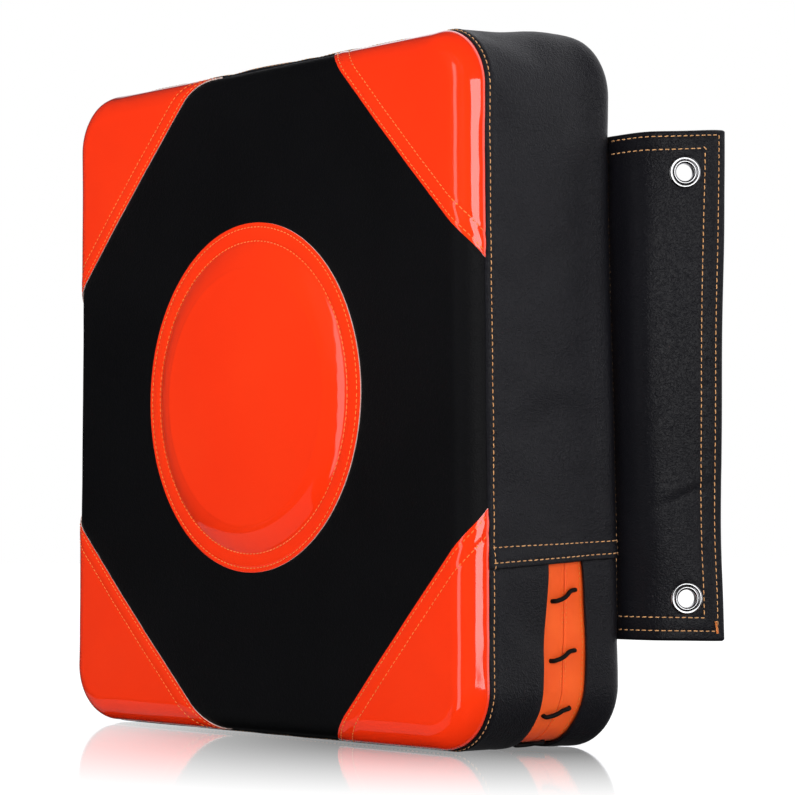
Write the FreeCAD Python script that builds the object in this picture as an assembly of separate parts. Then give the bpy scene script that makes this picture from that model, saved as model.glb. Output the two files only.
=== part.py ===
import FreeCAD, Part
import math
import os

# A square punch pad that hangs on a wall by two side flaps.
# Millimetres. Origin at the centre of the back face. +X is the striker's right,
# -Y is the struck side, +Z is up.

# ---- Driving dimensions -------------------------------------------------------
WIDTH = 390.0            # X
HEIGHT = 400.0           # Z
DEPTH = 112.0            # Y, back face to the patches on the front face
CORNER = 36.0            # corner radius of the square outline
EDGE_ROUND = 14.0        # rounding of the front and rear edges
SKIN = 1.5               # coated fabric of the panels and gussets
PATCH_SKIN = 1.0         # glossy fabric of the corner patches and the disc
REAR_SEAM = 3.3          # rear seam, in front of the back face

# Corner patches: side of the pad, top or bottom, leg along X, leg along Z.
PATCHES = {
    "top_left": (-1, 1, 136.0, 129.0),
    "top_right": (1, 1, 127.0, 127.0),
    "bottom_left": (-1, -1, 142.0, 130.0),
    "bottom_right": (1, -1, 123.0, 136.0),
}

DISC_RADIUS = 103.7      # sewn target disc
CROWN_RADIUS = 91.0      # foot of the padded centre
CROWN_TOP_RADIUS = 85.0  # top of the padded centre's bevel
CROWN_RISE = 4.0         # padded centre above the disc's flat rim

# The upper gusset's hem crosses the sides on a slant.
HEM_FRONT = -95.0        # Z of the hem at the front seam
HEM_RISE = 8.0           # how far it climbs over HEM_RUN
HEM_RUN = 90.0
HEM_OVERLAP = 12.0       # lower gusset tucked behind the upper one
HEM_GAP = 0.2

# Laced closure, along the lower sides and the bottom.
CLOSURE_Y = -43.0        # middle of the closure
OPENING = 15.0           # half of the gap between the two lower gussets
FOLD = 6.0               # folded hem of each gusset beside the gap
TAPE = 1.2               # thickness of the tapes and the underflap
TAPE_GAP = 0.15          # half of the butt gap between the tapes
LACE_DIAMETER = 2.4
LACE_HOLE = 1.8          # radius of the holes in the tapes
LACE_PITCH = 32.8
LACE_FIRST = 19.2        # first crossing below the hem
LACE_CROSSINGS = 17
LACE_REACH = 8.5         # holes either side of the middle
LACE_SLANT = 2.8         # each hole above or below its crossing
LACE_TAIL = 16.0

# Depths below the outer surface inside the closure.
LACE_OUTER = 1.5
TAPE_FACE = 2 * SKIN
LACE_INNER = 6.9
UNDERFLAP_FACE = 8.3
CHANNEL = 9.7            # depth of the groove in the foam

# Foam.
FOAM_INSET = 3.2
STRIKE_FOAM_BACK = -86.0
REAR_FOAM_FRONT = -26.0
FOAM_GAP = 0.2

# Side flaps: a three-layer laminate that curls to the rear.
FLAP_LAYER = 1.2
FLAP_BOTTOM = -140.0
FLAP_TOP = 146.0
FLAP_RADIUS = 52.0       # curl of the middle layer
FLAP_START = 9.0         # heading at the seam, degrees from +X towards +Y
FLAP_FOLD = 42.0         # heading at the second fold line
FLAP_END = 84.0          # heading at the free edge
FLAP_CORNER = 4.0
HINGE_X = 193.4          # seam fold line
HINGE_Y = -REAR_SEAM
GROOVE = 2.1             # clearance round a fold line
SKIN_START = 2.0         # outer layers begin this far past a fold line
STRIP_INNER_X = 165.0    # sewn-in edge of the flap
STRIP_SLOT = 0.1         # clearance where it leaves the seam

# Eyelets.
EYELET_EDGE = 24.0       # from the flap's free edge
EYELET_Z = (-116.5, 122.5)
BORE = 5.0
BARREL = 5.7
FLANGE = 9.0
EYELET_GAP = 0.05
WASHER = 0.8

# ---- Derived places -----------------------------------------------------------
FRONT_SEAM = -DEPTH + EDGE_ROUND
PANEL_FACE = -DEPTH + PATCH_SKIN
HALF_FLAP = 1.5 * FLAP_LAYER
FAR = 300.0


def vec(x, y, z):
    return FreeCAD.Vector(x, y, z)


def box(x1, x2, y1, y2, z1, z2):
    return Part.makeBox(x2 - x1, y2 - y1, z2 - z1, vec(x1, y1, z1))


def slab(y1, y2):
    """Everything between two depths."""
    return box(-FAR, FAR, y1, y2, -FAR, FAR)


def outline(inset, y):
    """The pad's rounded square, drawn at one depth."""
    x = WIDTH / 2 - inset
    z = HEIGHT / 2 - inset
    r = CORNER - inset
    k = r * (1 - math.sqrt(0.5))
    p = [vec(x - r, y, z), vec(x, y, z - r), vec(x, y, r - z), vec(x - r, y, -z),
         vec(r - x, y, -z), vec(-x, y, r - z), vec(-x, y, z - r), vec(r - x, y, z)]
    m = [vec(x - k, y, z - k), vec(x - k, y, k - z),
         vec(k - x, y, k - z), vec(k - x, y, z - k)]
    edges = []
    for i in range(4):
        a, b = p[2 * i], p[2 * i + 1]
        edges.append(Part.Arc(a, m[i], b).toShape())
        edges.append(Part.makeLine(b, p[(2 * i + 2) % 8]))
    return Part.Wire(edges)


def prism(inset, y1, y2):
    """The rounded square between two depths, with sharp edges."""
    return Part.Face(outline(inset, y1)).extrude(vec(0, y2 - y1, 0))


def block(inset):
    """The whole pad, shrunk on every side, with its front and rear edges rounded."""
    y1, y2 = -DEPTH + inset, -inset
    body = prism(inset, y1, y2)
    rim = [e for e in body.Edges
           if all(abs(v.Y - y1) < 0.01 for v in e.Vertexes)
           or all(abs(v.Y - y2) < 0.01 for v in e.Vertexes)]
    return body.makeFillet(EDGE_ROUND - inset, rim)


def band(d1, d2, y1, y2):
    """A ring that runs round the sides, between two depths below the surface."""
    return prism(d1, y1, y2).cut(prism(d2, y1 - 1, y2 + 1))


def hem_z(y):
    return HEM_FRONT + HEM_RISE / HEM_RUN * (y - FRONT_SEAM)


def below_hem(offset):
    """Everything under the slanted hem line, moved up by offset."""
    y1, y2 = -DEPTH - 20, 20.0
    corners = [vec(-FAR, y1, hem_z(y1) + offset), vec(-FAR, y2, hem_z(y2) + offset),
               vec(-FAR, y2, -FAR), vec(-FAR, y1, -FAR)]
    face = Part.Face(Part.makePolygon(corners + corners[:1]))
    return face.extrude(vec(2 * FAR, 0, 0))


def revolve(points, foot, axis):
    """Turns a closed profile of (radius, height) points round an axis. A pair of
    points in place of one is an arc's middle and end."""
    edges = []
    start = last = vec(points[0][0], points[0][1], 0)
    for p in points[1:]:
        if isinstance(p[0], tuple):
            middle, end = (vec(q[0], q[1], 0) for q in p)
            edges.append(Part.Arc(last, middle, end).toShape())
        else:
            end = vec(p[0], p[1], 0)
            edges.append(Part.makeLine(last, end))
        last = end
    if (last - start).Length > 0.001:
        edges.append(Part.makeLine(last, start))
    solid = Part.Face(Part.Wire(edges)).revolve(vec(0, 0, 0), vec(0, 1, 0), 360)
    turn = FreeCAD.Rotation(vec(0, 1, 0), axis)
    solid.Placement = FreeCAD.Placement(foot, turn)
    return solid


# ---- Cover ----------------------------------------------------------------------
def front_panel():
    dish = block(PATCH_SKIN).cut(block(PATCH_SKIN + SKIN))
    return dish.common(slab(-DEPTH - 1, FRONT_SEAM))


def back_panel():
    dish = block(0).cut(block(SKIN)).common(slab(-REAR_SEAM, 1))
    for side in (-1, 1):
        dish = dish.cut(strip_slot(side))
    return dish


def corner_patch(side, up, leg_x, leg_z):
    """A glossy triangle that wraps a corner of the front panel as far as the seam."""
    beyond = 0.1
    x, z, y = side * WIDTH / 2, up * HEIGHT / 2, -DEPTH - 1
    on_x = vec(x - side * leg_x, y, z)
    on_z = vec(x, y, z - up * leg_z)
    cut = (on_z - on_x) * beyond
    on_x, on_z = on_x - cut, on_z + cut
    tip = vec(on_z.x, y, on_x.z)
    triangle = Part.Face(Part.makePolygon([tip, on_x, on_z, tip]))
    layer = block(0).cut(block(PATCH_SKIN)).common(slab(-DEPTH - 1, FRONT_SEAM))
    return layer.common(triangle.extrude(vec(0, EDGE_ROUND + 2, 0)))


def crowned(radius, thickness, sink):
    """Half section of the padded centre: its top, its bevel and its foot."""
    top = CROWN_RISE - sink
    return [(0, top), (CROWN_TOP_RADIUS - 4.0 - sink, top),
            ((CROWN_TOP_RADIUS + 2.0 - sink, top - 1.1), (radius, thickness))]


def target_disc():
    inside = crowned(CROWN_RADIUS - 0.8, 0, 0)
    middle, foot = crowned(CROWN_RADIUS, PATCH_SKIN, -PATCH_SKIN)[2]
    top = CROWN_RISE + PATCH_SKIN
    profile = inside + [(DISC_RADIUS, 0), (DISC_RADIUS, PATCH_SKIN), foot,
                        (middle, (CROWN_TOP_RADIUS - 4.0, top)), (0, top)]
    return revolve(profile, vec(0, PANEL_FACE, 0), vec(0, -1, 0))


def target_disc_padding():
    profile = crowned(CROWN_RADIUS - 1.2, 0, 0.15) + [(0, 0)]
    return revolve(profile, vec(0, PANEL_FACE, 0), vec(0, -1, 0))


def gusset_shell():
    shell = block(0).cut(block(SKIN)).common(slab(FRONT_SEAM, -REAR_SEAM))
    for side in (-1, 1):
        shell = shell.cut(strip_slot(side))
    return shell


def lower_gusset(shell, y1, y2, fold_y1, fold_y2, tuck_y1, tuck_y2):
    """One lower gusset: its outer face, the edge folded in beside the closure, and the
    top edge tucked behind the upper gusset."""
    face = shell.common(slab(y1, y2)).common(below_hem(-HEM_GAP))
    fold = band(SKIN, 2 * SKIN, fold_y1, fold_y2).common(below_hem(HEM_OVERLAP))
    tuck = band(SKIN, 2 * SKIN, tuck_y1, tuck_y2).common(below_hem(HEM_OVERLAP))
    tuck = tuck.cut(below_hem(-3.0))
    return face.fuse([fold, tuck]).removeSplitter()


# ---- Laced closure ----------------------------------------------------------------
SIDE_RUN = hem_z(CLOSURE_Y) + HEIGHT / 2 - CORNER
BEND_RUN = CORNER * math.pi / 2
BOTTOM_RUN = WIDTH - 2 * CORNER


def on_closure(s, y, depth):
    """The point a distance s along the closure from its right end, at a depth below
    the surface: down the right side, along the bottom and up the left side."""
    whole = 2 * (SIDE_RUN + BEND_RUN) + BOTTOM_RUN
    side = 1
    if s > whole / 2:
        s = whole - s
        side = -1
    radius = CORNER - depth
    middle_x, middle_z = WIDTH / 2 - CORNER, CORNER - HEIGHT / 2
    if s < SIDE_RUN:
        return vec(side * (middle_x + radius), y, middle_z + SIDE_RUN - s)
    if s < SIDE_RUN + BEND_RUN:
        a = (s - SIDE_RUN) / CORNER
        return vec(side * (middle_x + radius * math.cos(a)), y,
                   middle_z - radius * math.sin(a))
    return vec(side * (middle_x - (s - SIDE_RUN - BEND_RUN)), y, middle_z - radius)


def bends(s1, s2):
    """Distances between s1 and s2 at which a run round a lower corner turns."""
    whole = 2 * (SIDE_RUN + BEND_RUN) + BOTTOM_RUN
    corners = [(SIDE_RUN, SIDE_RUN + BEND_RUN),
               (whole - SIDE_RUN - BEND_RUN, whole - SIDE_RUN)]
    steps = 4
    inside = [s1 + (s2 - s1) * i / steps for i in range(1, steps)]
    if any(s1 < b and s2 > a for a, b in corners):
        return inside
    return []


def lace_holes():
    """Distance along the closure and Y of the front and rear hole of each crossing."""
    for i in range(LACE_CROSSINGS):
        s = LACE_FIRST + i * LACE_PITCH
        yield ((s + LACE_SLANT, CLOSURE_Y - LACE_REACH),
               (s - LACE_SLANT, CLOSURE_Y + LACE_REACH))


def lace_route():
    """Corner points of the lace: over the tapes on a slant, then back inside to the
    next pair of holes."""
    holes = list(lace_holes())
    s, y = holes[0][0]
    route = [on_closure(s - LACE_TAIL, y, LACE_INNER)]
    for i, (front, rear) in enumerate(holes):
        if i:
            s1, y1 = holes[i - 1][1]
            s2, y2 = front
            for s in bends(s1, s2):
                y = y1 + (y2 - y1) * (s - s1) / (s2 - s1)
                route.append(on_closure(s, y, LACE_INNER))
        route.append(on_closure(front[0], front[1], LACE_INNER))
        route.append(on_closure(front[0], front[1], LACE_OUTER))
        route.append(on_closure(rear[0], rear[1], LACE_OUTER))
        route.append(on_closure(rear[0], rear[1], LACE_INNER))
    s, y = holes[-1][1]
    route.append(on_closure(s + LACE_TAIL, y, LACE_INNER))
    return route


def tube(route, diameter):
    """A round cord along straight runs joined by tangent arcs."""
    share = 0.45
    edges = []
    last = route[0]
    tightest = FAR
    for before, here, after in zip(route, route[1:], route[2:]):
        a, b = before - here, after - here
        turn = math.pi - a.getAngle(b)
        if turn < 0.01:
            continue
        reach = share * min(a.Length, b.Length)
        tightest = min(tightest, reach / math.tan(turn / 2))
        a.normalize()
        b.normalize()
        p, q = here + a * reach, here + b * reach
        radius = reach / math.tan(turn / 2)
        inward = (a + b).normalize()
        centre = here + inward * (radius / math.cos(turn / 2))
        middle = centre - inward * radius
        if (p - last).Length > 0.001:
            edges.append(Part.makeLine(last, p))
        edges.append(Part.Arc(p, middle, q).toShape())
        last = q
    edges.append(Part.makeLine(last, route[-1]))
    path = Part.Wire(edges)
    start = route[0]
    heading = route[1] - start
    ring = Part.Wire(Part.makeCircle(diameter / 2, start, heading))
    solid = path.makePipeShell([ring], True, False)
    expected = math.pi * diameter ** 2 / 4 * path.Length
    print("lace", round(path.Length, 1), "mm, tightest bend", round(tightest, 2),
          "mm, volume over section times length", round(solid.Volume / expected, 4))
    return solid


def closure_tape(y1, y2, row):
    tape = band(TAPE_FACE, TAPE_FACE + TAPE, y1, y2).common(below_hem(HEM_OVERLAP - 2))
    punches = []
    for pair in lace_holes():
        s, y = pair[row]
        outer = on_closure(s, y, TAPE_FACE - 1)
        inner = on_closure(s, y, TAPE_FACE + TAPE + 1)
        punches.append(Part.makeCylinder(LACE_HOLE, (inner - outer).Length, outer,
                                         inner - outer))
    return tape.cut(punches)


def closure_underflap():
    whole = band(UNDERFLAP_FACE, UNDERFLAP_FACE + TAPE,
                 CLOSURE_Y - OPENING - FOLD - 2, CLOSURE_Y + OPENING + FOLD + 2)
    return whole.common(below_hem(HEM_OVERLAP - 2))


# ---- Foam -------------------------------------------------------------------------
def foam(y1, y2):
    """A layer of the filling, grooved for the closure and the flaps' sewn-in edges."""
    layer = block(FOAM_INSET).common(slab(y1, y2))
    half = OPENING + FOLD + 2.5
    groove = band(-1, CHANNEL, CLOSURE_Y - half, CLOSURE_Y + half)
    layer = layer.cut(groove.common(below_hem(HEM_OVERLAP + 1)))
    for side in (-1, 1):
        layer = layer.cut(strip_box(side, 0.3, STRIP_INNER_X - 0.5))
    return layer


# ---- Side flaps ---------------------------------------------------------------------
CURL_X = HINGE_X - FLAP_RADIUS * math.sin(math.radians(FLAP_START))
CURL_Y = HINGE_Y + FLAP_RADIUS * math.cos(math.radians(FLAP_START))
EYELET_HEADING = FLAP_END - math.degrees(EYELET_EDGE / FLAP_RADIUS)


def normal(heading):
    """Outward normal of the right flap's front face at a heading along its curl."""
    a = math.radians(heading)
    return vec(math.sin(a), -math.cos(a), 0)


def on_flap(heading, lift, z):
    """A point of the right flap, lifted from its middle layer towards its front."""
    return vec(CURL_X, CURL_Y, z) + normal(heading) * (FLAP_RADIUS + lift)


def mirrored(shape, side):
    if side > 0:
        return shape
    return shape.mirror(vec(0, 0, 0), vec(1, 0, 0))


def strip_box(side, gap, inner_x):
    y1, y2 = HINGE_Y - HALF_FLAP - gap, HINGE_Y + HALF_FLAP + gap
    strip = box(inner_x, WIDTH / 2 + 5, y1, y2, FLAP_BOTTOM - gap, FLAP_TOP + gap)
    return mirrored(strip, side)


def strip_slot(side):
    return strip_box(side, STRIP_SLOT, WIDTH / 2 - EDGE_ROUND - 1)


def seam_strip(side):
    """The flap's edge, sewn in behind the rear seam."""
    return strip_box(side, 0, STRIP_INNER_X).common(block(0))


def curl(lift1, lift2, heading1, heading2):
    """A curved plate of the right flap."""
    middle = (heading1 + heading2) / 2
    z = FLAP_BOTTOM
    corners = [on_flap(heading1, lift2, z), on_flap(middle, lift2, z),
               on_flap(heading2, lift2, z), on_flap(heading2, lift1, z),
               on_flap(middle, lift1, z), on_flap(heading1, lift1, z)]
    edges = [Part.Arc(corners[0], corners[1], corners[2]).toShape(),
             Part.makeLine(corners[2], corners[3]),
             Part.Arc(corners[3], corners[4], corners[5]).toShape(),
             Part.makeLine(corners[5], corners[0])]
    return Part.Face(Part.Wire(edges)).extrude(vec(0, 0, FLAP_TOP - FLAP_BOTTOM))


def fold_rod(heading, radius):
    """A rod along one of the flap's fold lines."""
    foot = on_flap(heading, 0, FLAP_BOTTOM)
    return Part.makeCylinder(radius, FLAP_TOP - FLAP_BOTTOM, foot, vec(0, 0, 1))


def round_free_corners(plate):
    """Rounds the two corners at the flap's free edge."""
    tip = on_flap(FLAP_END, 0, 0)
    chosen = []
    for e in plate.Edges:
        ends = [v.Point for v in e.Vertexes]
        level = len(ends) == 2 and abs(ends[0].z - ends[1].z) < 0.01
        near = all(math.hypot(p.x - tip.x, p.y - tip.y) < HALF_FLAP + 0.1 for p in ends)
        if level and near:
            chosen.append(e)
    return plate.makeFillet(FLAP_CORNER, chosen)


def eyelet_axis(z, lift):
    return on_flap(EYELET_HEADING, lift, z)


def flange_seat():
    """Height of the flat seat that the clinched flange presses into the curled flap."""
    outer = FLAP_RADIUS + HALF_FLAP
    return math.sqrt(outer ** 2 - FLANGE ** 2) - FLAP_RADIUS


def eyelet_cuts():
    """The hole and the two flat seats of each eyelet."""
    n = normal(EYELET_HEADING)
    wide = FLANGE + EYELET_GAP
    for z in EYELET_Z:
        yield Part.makeCylinder(BARREL + EYELET_GAP, 20, eyelet_axis(z, -10), n)
        yield Part.makeCylinder(wide, 5, eyelet_axis(z, flange_seat()), n)
        yield Part.makeCylinder(wide, 5, eyelet_axis(z, -HALF_FLAP - 5), n)


def inner_layer(lift1, lift2):
    start = FLAP_START + math.degrees(SKIN_START / FLAP_RADIUS)
    plate = curl(lift1, lift2, start, FLAP_FOLD)
    return plate.cut(fold_rod(FLAP_FOLD, GROOVE))


def inner_core(lift1, lift2):
    plate = curl(lift1, lift2, FLAP_START, FLAP_FOLD)
    plate = plate.fuse(fold_rod(FLAP_START, HALF_FLAP)).removeSplitter()
    return plate.cut(fold_rod(FLAP_FOLD, GROOVE))


def outer_layer(lift1, lift2):
    start = FLAP_FOLD + math.degrees(SKIN_START / FLAP_RADIUS)
    plate = round_free_corners(curl(lift1, lift2, start, FLAP_END))
    return plate.cut(list(eyelet_cuts()))


def outer_core(lift1, lift2):
    plate = round_free_corners(curl(lift1, lift2, FLAP_FOLD, FLAP_END))
    plate = plate.fuse(fold_rod(FLAP_FOLD, HALF_FLAP)).removeSplitter()
    return plate.cut(list(eyelet_cuts()))


def eyelets():
    """Barrel, domed flange on the front and a rolled rim over the washer behind."""
    seat = flange_seat()
    foot = -HALF_FLAP - WASHER
    profile = [(BORE, foot), (BORE, seat + 0.6),
               ((BORE + 0.4, seat + 1.15), (BORE + 1.4, seat + 1.4)),
               ((FLANGE - 1.0, seat + 1.05), (FLANGE, seat + 0.3)),
               (FLANGE, seat), (BARREL, seat), (BARREL, foot), (BARREL + 1.6, foot),
               ((BARREL + 0.4, foot - 0.75), (BORE, foot))]
    n = normal(EYELET_HEADING)
    return Part.makeCompound([revolve(profile, eyelet_axis(z, 0), n) for z in EYELET_Z])


def washers():
    n = normal(EYELET_HEADING)
    made = []
    for z in EYELET_Z:
        foot = eyelet_axis(z, -HALF_FLAP - WASHER)
        ring = Part.makeCylinder(FLANGE, WASHER, foot, n)
        made.append(ring.cut(Part.makeCylinder(BARREL + EYELET_GAP, WASHER, foot, n)))
    return Part.makeCompound(made)


# ---- The sub-parts ------------------------------------------------------------------
def pad_parts():
    parts = {
        "front_panel": front_panel(),
        "target_disc": target_disc(),
        "target_disc_padding": target_disc_padding(),
        "back_panel": back_panel(),
    }
    for name, sizes in PATCHES.items():
        parts["corner_patch_" + name] = corner_patch(*sizes)
    shell = gusset_shell()
    edge_front, edge_rear = CLOSURE_Y - OPENING, CLOSURE_Y + OPENING
    parts["upper_gusset"] = shell.cut(below_hem(0))
    parts["lower_gusset_front"] = lower_gusset(
        shell, FRONT_SEAM - 1, edge_front, edge_front - FOLD, edge_front,
        FRONT_SEAM + 1, edge_front)
    parts["lower_gusset_rear"] = lower_gusset(
        shell, edge_rear, 1, edge_rear, edge_rear + FOLD, edge_rear, -EDGE_ROUND)
    parts["closure_tape_front"] = closure_tape(edge_front - FOLD, CLOSURE_Y - TAPE_GAP, 0)
    parts["closure_tape_rear"] = closure_tape(CLOSURE_Y + TAPE_GAP, edge_rear + FOLD, 1)
    parts["closure_lace"] = tube(lace_route(), LACE_DIAMETER)
    parts["closure_underflap"] = closure_underflap()
    parts["strike_foam"] = foam(-DEPTH, STRIKE_FOAM_BACK)
    parts["core_foam"] = foam(STRIKE_FOAM_BACK + FOAM_GAP, REAR_FOAM_FRONT)
    parts["rear_foam"] = foam(REAR_FOAM_FRONT + FOAM_GAP, 0)
    return parts


def flap_parts(name, side):
    half, third = HALF_FLAP, FLAP_LAYER / 2
    return {
        f"flap_{name}_seam_strip": seam_strip(side),
        f"flap_{name}_inner_front_skin": mirrored(inner_layer(third, half), side),
        f"flap_{name}_inner_core": mirrored(inner_core(-third, third), side),
        f"flap_{name}_inner_rear_skin": mirrored(inner_layer(-half, -third), side),
        f"flap_{name}_outer_front_skin": mirrored(outer_layer(third, half), side),
        f"flap_{name}_outer_core": mirrored(outer_core(-third, third), side),
        f"flap_{name}_outer_rear_skin": mirrored(outer_layer(-half, -third), side),
        f"flap_{name}_eyelets": mirrored(eyelets(), side),
        f"flap_{name}_washers": mirrored(washers(), side),
    }


def main():
    os.makedirs("parts", exist_ok=True)
    parts = pad_parts()
    parts.update(flap_parts("right", 1))
    parts.update(flap_parts("left", -1))
    for name, shape in parts.items():
        shape.exportStep(f"parts/{name}.step")
        b = shape.BoundBox
        print(f"{name:34s} solids {len(shape.Solids):2d} valid {shape.isValid()} "
              f"cm3 {shape.Volume / 1000:9.2f}  x {b.XMin:7.1f} {b.XMax:7.1f} "
              f"y {b.YMin:7.1f} {b.YMax:7.1f} z {b.ZMin:7.1f} {b.ZMax:7.1f}")


main()
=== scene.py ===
import math

import bmesh
import bpy
import numpy as np
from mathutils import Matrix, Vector
from mathutils.bvhtree import BVHTree

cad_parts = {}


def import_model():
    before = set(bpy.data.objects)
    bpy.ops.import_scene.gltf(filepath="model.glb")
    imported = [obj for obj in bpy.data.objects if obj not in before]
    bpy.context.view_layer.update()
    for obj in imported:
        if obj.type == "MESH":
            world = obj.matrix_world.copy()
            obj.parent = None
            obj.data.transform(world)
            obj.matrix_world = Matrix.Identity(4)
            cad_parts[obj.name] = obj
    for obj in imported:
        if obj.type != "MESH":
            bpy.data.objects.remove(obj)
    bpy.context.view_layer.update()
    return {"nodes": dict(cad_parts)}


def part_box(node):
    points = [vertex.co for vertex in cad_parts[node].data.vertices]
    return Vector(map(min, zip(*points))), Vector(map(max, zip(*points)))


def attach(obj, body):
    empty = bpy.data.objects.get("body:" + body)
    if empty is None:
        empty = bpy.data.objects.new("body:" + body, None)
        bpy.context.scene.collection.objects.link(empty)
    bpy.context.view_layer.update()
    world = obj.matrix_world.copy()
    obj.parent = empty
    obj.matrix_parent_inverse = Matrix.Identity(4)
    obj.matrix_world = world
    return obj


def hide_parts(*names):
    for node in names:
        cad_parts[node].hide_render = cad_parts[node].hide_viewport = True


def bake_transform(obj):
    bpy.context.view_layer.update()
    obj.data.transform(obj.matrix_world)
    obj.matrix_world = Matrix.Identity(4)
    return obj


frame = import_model()

# The looks of a square punch pad that hangs on a wall. Lengths are millimetres until
# build() turns them into metres. +X is the striker's right, -Y the struck side.
MM = 0.001


def node_box(*names):
    """Lowest and highest corner of some CAD nodes, in millimetres."""
    boxes = [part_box(n) for n in names]
    low = np.min([np.array(b[0]) for b in boxes], axis=0)
    high = np.max([np.array(b[1]) for b in boxes], axis=0)
    return low / MM, high / MM


# ---- Sizes from the frame -----------------------------------------------------------
GUSSET_LOW, GUSSET_HIGH = node_box("upper_gusset")
HALF_W = GUSSET_HIGH[0]
HALF_H = GUSSET_HIGH[2]
FRONT_SEAM = GUSSET_LOW[1]
REAR_SEAM = GUSSET_HIGH[1]
PANEL_FACE = node_box("front_panel")[0][1]
TAPE_LOW, TAPE_HIGH = node_box("closure_tape_front", "closure_tape_rear")
FLAP_LOW, FLAP_HIGH = node_box("flap_right_outer_front_skin", "flap_right_outer_rear_skin")
DISC_RADIUS = node_box("target_disc")[1][0]

# ---- Driving sizes ------------------------------------------------------------------
CORNER = 36.0            # corner radius of the outline
REAR_ROUND = 14.0        # rounding of the rear edge
SKIN = 1.3               # cover fabric
PATCH_SKIN = 1.0         # glossy fabric
SEAM_IN = 2.0            # how far the front seam is pulled in
SHOULDER_X = 14.5        # front rounding, across the face

PATCHES = {
    "top_left": (-1, 1, 140.0, 136.0),
    "top_right": (1, 1, 127.0, 124.5),
    "bottom_left": (-1, -1, 151.0, 134.0),
    "bottom_right": (1, -1, 123.0, 128.0),
}
PATCH_ROWS = (2.2, 9.6)  # stitch rows, from the patch's cut edge
DISC_ROWS = (2.6, 11.0)
CROWN_FOOT = 92.0
CROWN_TOP = 76.4
CROWN_RISE = 4.7

HEM_FRONT, HEM_RISE, HEM_RUN = -99.0, 6.0, 90.0
HEM_ROWS = (2.6, 11.0)
HEM_LIP = 1.3
HEM_TUCK = 12.0
SEAM_ROW = 3.3           # topstitch, from each seam

CLOSURE_Y = -44.4
OPENING = 15.0
TAPE_DEPTH = 3.0
TAPE_THICK = 1.2
LACE_RADIUS = 1.25
LACE_PITCH = 32.8
LACE_FIRST = 19.2
LACE_CROSSINGS = 17
LACE_REACH = 8.5
LACE_SLANT = 2.8
LACE_TAIL = 16.0
LACE_OUTER, LACE_INNER = 1.1, 6.9

FLAP_RADIUS = 52.0
FLAP_START, FLAP_FOLD, FLAP_SPLIT, FLAP_END = 9.0, 42.0, 25.5, 87.4
FLAP_HALF = 1.8
FLAP_ROWS = (4.0, 11.4)
FLAP_CORNER = 1.6
FLAP_SEWN_IN = 9.0
EYELET_EDGE = 27.1
EYELET_Z = (-116.5, 122.5)
BORE, BARREL, FLANGE, WASHER = 5.0, 5.7, 9.0, 0.8
HINGE = np.array([HALF_W - 1.6, REAR_SEAM, 0.0])

SHARP_ANGLE = 50.0       # degrees, above which an edge is drawn sharp
WELD_STEP = 1e-3         # points closer than this are one
FREE_ROW = 0.81          # stitch rows lie further from the flap's free edge,
TOP_ROW_SHIFT = 0.9      # closer to its top
BOTTOM_ROW_SHIFT = 1.6   # and further from its bottom
EDGE_ROLL = 1.7          # rounding of the flap's edge
ROOT_BLEND = 8.0         # span of cloth beside the root hinge, worked out in bend() but not used
FOLD_BLEND = 5.0         # and the span on each side of the fold, likewise not used

STITCH_PITCH = 3.7
STITCH_GAP = 1.0
THREAD = 0.31            # half the width of a stitch
FINE_STITCH = {"pitch": 3.3, "gap": 1.0, "width": 0.25}


# ---- The outline of the pad ---------------------------------------------------------
SPINE_X, SPINE_Z = HALF_W - CORNER, HALF_H - CORNER
ARC = CORNER * math.pi / 2
KNOTS = np.cumsum([0, SPINE_X, ARC, 2 * SPINE_Z, ARC, 2 * SPINE_X, ARC, 2 * SPINE_Z, ARC,
                   SPINE_X])
AROUND = KNOTS[-1]
RIGHT_START = KNOTS[2]
BOTTOM_END = KNOTS[2]


def spine(s):
    """The line that the outline is offset from, and the outward normal, at a distance s
    round the pad, from the middle of the bottom towards +X."""
    s = np.mod(s, AROUND)
    x = np.interp(s, KNOTS, np.array([0, 1, 1, 1, 1, -1, -1, -1, -1, 0]) * SPINE_X)
    z = np.interp(s, KNOTS, np.array([-1, -1, -1, 1, 1, 1, 1, -1, -1, -1]) * SPINE_Z)
    turn = np.radians(np.interp(s, KNOTS, [-90, -90, 0, 0, 90, 90, 180, 180, 270, 270]))
    return x, z, np.cos(turn), np.sin(turn)


def place(s, inset, y):
    """The point at an inset from the outline and a depth y."""
    x, z, nx, nz = spine(s)
    reach = CORNER - inset
    s, y = np.broadcast_arrays(s + 0.0 * reach, y)
    return np.stack([x + reach * nx, y + 0.0 * reach, z + reach * nz], axis=-1)


def around(step):
    """Distances round the pad with the same spacing on opposite sides."""
    stops = []
    across = max(1, round(SPINE_X / step))
    corner = max(1, round(ARC / step))
    side = max(1, round(2 * SPINE_Z / step))
    counts = [across, corner, side, corner, 2 * across, corner, side, corner, across]
    for a, b, count in zip(KNOTS, KNOTS[1:], counts):
        stops.append(np.linspace(a, b, count, endpoint=False))
    return np.concatenate(stops)


def hump(x, centre, width):
    return np.exp(-((x - centre) / width) ** 2)


def ease(x, a, b):
    t = np.clip((x - a) / (b - a), 0, 1)
    return t * t * (3 - 2 * t)


def spacing(*runs):
    """Values from several runs of (start, end, step), each one finer or coarser."""
    parts = [np.linspace(a, b, max(1, round(abs(b - a) / step)), endpoint=False)
             for a, b, step in runs]
    return np.concatenate(parts + [np.array([runs[-1][1]])])


# ---- Mesh building ------------------------------------------------------------------
def grid_faces(rows, cols, wrap=False, flip=False):
    """Quads of a grid of points stored row by row."""
    last = cols if wrap else cols - 1
    r, c = np.meshgrid(np.arange(rows - 1), np.arange(last), indexing="ij")
    n = (c + 1) % cols
    q = np.stack([r * cols + c, r * cols + n, (r + 1) * cols + n, (r + 1) * cols + c], -1)
    q = q.reshape(-1, 4)
    return q[:, ::-1] if flip else q


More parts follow.
